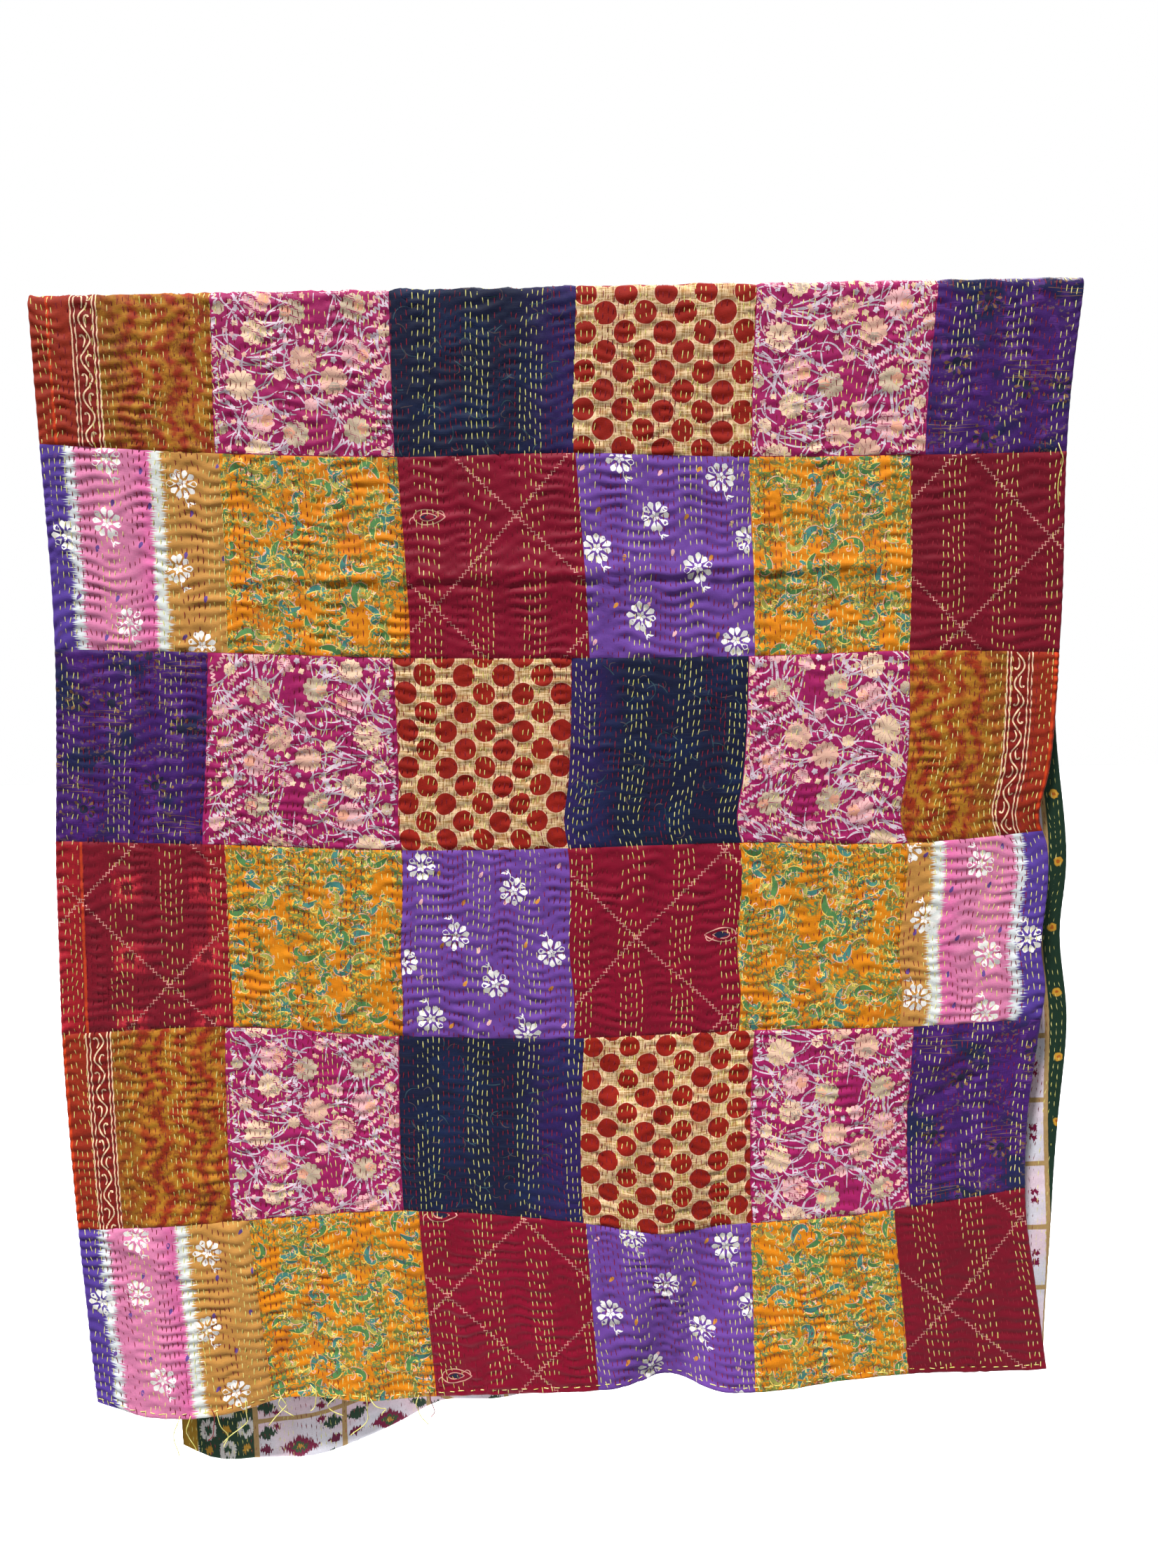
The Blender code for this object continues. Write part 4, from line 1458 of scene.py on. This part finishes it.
def build_hem_stitches(material):
    """A row of stitches along the front hem, across the upright ones."""
    rng = np.random.default_rng(35)
    across = np.arange(0.006, 0.994, STITCH_PITCH / WIDTH)
    across = across + rng.normal(0, 0.0006, len(across))
    along = seam_line(LAST_ROW, across) - HEM_STITCH_UP + rng.normal(0, 0.0004, len(across))
    reach = 0.003
    slope = (seam_line(LAST_ROW, across + reach) - seam_line(LAST_ROW, across - reach)) / (2 * reach * WIDTH)
    lean = np.arctan2(1, slope) + rng.normal(0, 0.06, len(across))
    half = STITCH_LENGTH / 2 * rng.normal(1, 0.15, len(across)).clip(0.6, 1.35)
    return lay_stitches("hem_stitches", across * WIDTH, along, lean, half, material, outer)


def build_tails(name, kind, material):
    """Loose ends of thread, as thin tubes that hang from the cloth."""
    points, faces, flat = [], [], []
    s = np.linspace(0, 1, 15)
    around = np.arange(4) * math.pi / 2
    for k, tail in enumerate(t for t in TAILS if t.thread == kind):
        start = outer(np.array([tail.across]), seam_line(LAST_ROW, np.array([tail.across])) - tail.up, 0.0002)[0]
        x = start[0] + tail.swing * s ** 1.5 + tail.bow * np.sin(math.pi * s) + 0.0015 * np.sin(9 * s + k)
        y = start[1] - 0.004 * np.sin(math.pi * np.minimum(2 * s, 1)) - 0.003 * s
        z = start[2] - tail.length * s + 0.002 * np.sin(6 * s + k)
        path = np.stack([x, y, z], -1)
        run = np.gradient(path, axis=0)
        run /= np.linalg.norm(run, axis=1, keepdims=True)
        side = np.cross(run, (0, 1, 0))
        side /= np.linalg.norm(side, axis=1, keepdims=True)
        out = np.cross(side, run)
        ring = path[:, None] + TAIL_RADIUS * (side[:, None] * np.cos(around)[:, None] + out[:, None] * np.sin(around)[:, None])
        base = sum(len(p) for p in points)
        corner = base + 4 * np.arange(len(s) - 1)[:, None] + np.arange(4)
        ahead = base + 4 * np.arange(len(s) - 1)[:, None] + (np.arange(4) + 1) % 4
        faces += np.stack([corner, ahead, ahead + 4, corner + 4], -1).reshape(-1, 4).tolist()
        last = base + 4 * (len(s) - 1)
        faces += [[base + 3, base + 2, base + 1, base], [last, last + 1, last + 2, last + 3]]
        points.append(ring.reshape(-1, 3))
        down, turn = np.meshgrid(s, np.arange(4) / 4, indexing="ij")
        flat.append(np.stack([(k + 0.1 + 0.8 * turn) / len(TAILS), 0.02 + 0.96 * down], -1).reshape(-1, 2))
    points, flat = np.concatenate(points), np.concatenate(flat)
    return make_piece(name, points, faces, material, {"OFBake": flat, "cloth": flat, "dye": points[:, ::2]})


# Scene

def build_camera():
    """The photograph's own view."""
    forward = Vector((0, math.cos(CAMERA_PITCH), -math.sin(CAMERA_PITCH)))
    level = Vector((1, 0, 0))
    upright = level.cross(forward)
    right = level * math.cos(CAMERA_ROLL) - upright * math.sin(CAMERA_ROLL)
    up = level * math.sin(CAMERA_ROLL) + upright * math.cos(CAMERA_ROLL)
    data = bpy.data.cameras.new("camera")
    data.sensor_fit = "HORIZONTAL"
    data.sensor_width = 36
    data.lens = 36 * FOCAL_PIXELS / PHOTO_SIZE[0]
    camera = bpy.data.objects.new("camera", data)
    camera.matrix_world = Matrix((
        (right.x, up.x, -forward.x, CAMERA_PLACE[0]),
        (right.y, up.y, -forward.y, CAMERA_PLACE[1]),
        (right.z, up.z, -forward.z, CAMERA_PLACE[2]),
        (0, 0, 0, 1),
    ))
    bpy.context.scene.collection.objects.link(camera)
    bpy.context.scene.camera = camera


def build_studio():
    """A pale floor, a white surround and a soft key light from above the viewer."""
    scene = bpy.context.scene
    scene.view_settings.view_transform = "Standard"
    world = bpy.data.worlds.new("surround")
    world.use_nodes = True
    tree = world.node_tree
    seen = tree.nodes.new("ShaderNodeLightPath")
    strength = tree.nodes.new("ShaderNodeMapRange")
    strength.inputs["To Min"].default_value = SURROUND_LIGHT
    tree.links.new(seen.outputs["Is Camera Ray"], strength.inputs["Value"])
    tree.links.new(strength.outputs["Result"], tree.nodes["Background"].inputs["Strength"])
    tree.nodes["Background"].inputs["Color"].default_value = (1, 1, 1, 1)
    scene.world = world
    bpy.ops.mesh.primitive_plane_add(size=40, location=(0, 0, FLOOR_Z))
    floor = bpy.context.object
    floor.name = "floor"
    plain = bpy.data.materials.new("pale_floor")
    plain.use_nodes = True
    shader = plain.node_tree.nodes["Principled BSDF"]
    shader.inputs["Base Color"].default_value = (0.9, 0.9, 0.9, 1)
    shader.inputs["Roughness"].default_value = 0.9
    floor.data.materials.append(plain)
    floor.visible_diffuse = False
    data = bpy.data.lights.new("low_fill", "POINT")
    data.shadow_soft_size = LOW_FILL_SIZE
    data.energy = LOW_FILL_POWER
    light = bpy.data.objects.new("low_fill", data)
    light.location = LOW_FILL_PLACE
    light.visible_camera = False
    scene.collection.objects.link(light)
    for name, towards, size, power in SUNS:
        data = bpy.data.lights.new(name, "SUN")
        data.angle = math.radians(size)
        data.energy = power
        light = bpy.data.objects.new(name, data)
        light.rotation_euler = Vector(towards).to_track_quat("-Z", "Y").to_euler()
        scene.collection.objects.link(light)


build_camera()
build_studio()
backing = build_backing()
patches = [Patch(strip, column) for strip in STRIPS for column in range(6)]
for patch in patches:
    patch.build(CLOTHS[patch.kind])
prints = build_prints(patches, INKS)

line_count = int((WIDTH - 2 * FIRST_LINE) / LINE_GAP) + 1
bands = np.arange(line_count) // LINES_IN_BAND % 2
pale_lines = np.flatnonzero(bands == 0)
dark_lines = np.flatnonzero(bands == 1)
pale_thread = thread("pale_thread", "EDE69A", "C9C45A")
dark_thread = thread("dark_thread", "8A1C2C", "5E1020")
front_end = HALF_TURN + FLAP_LENGTH
back_end = -HALF_TURN - 1.49
extras = [
    build_stitches("pale_stitches_front", pale_lines, -0.01, front_end, pale_thread, outer, 31),
    build_stitches("dark_stitches_front", dark_lines, -0.01, front_end, dark_thread, outer, 32),
    build_stitches("pale_stitches_back", pale_lines, back_end, -0.01, pale_thread, outer, 33, True),
    build_stitches("dark_stitches_back", dark_lines, back_end, -0.01, dark_thread, outer, 34, True),
    build_stitches("pale_stitches_inside", pale_lines, back_end, front_end, pale_thread, inner, 36, True),
    build_stitches("dark_stitches_inside", dark_lines, back_end, front_end, dark_thread, inner, 37, True),
    build_hem_stitches(pale_thread),
    build_tails("pale_thread_tails", "pale", pale_thread),
    build_tails("red_thread_tails", "red", dark_thread),
]
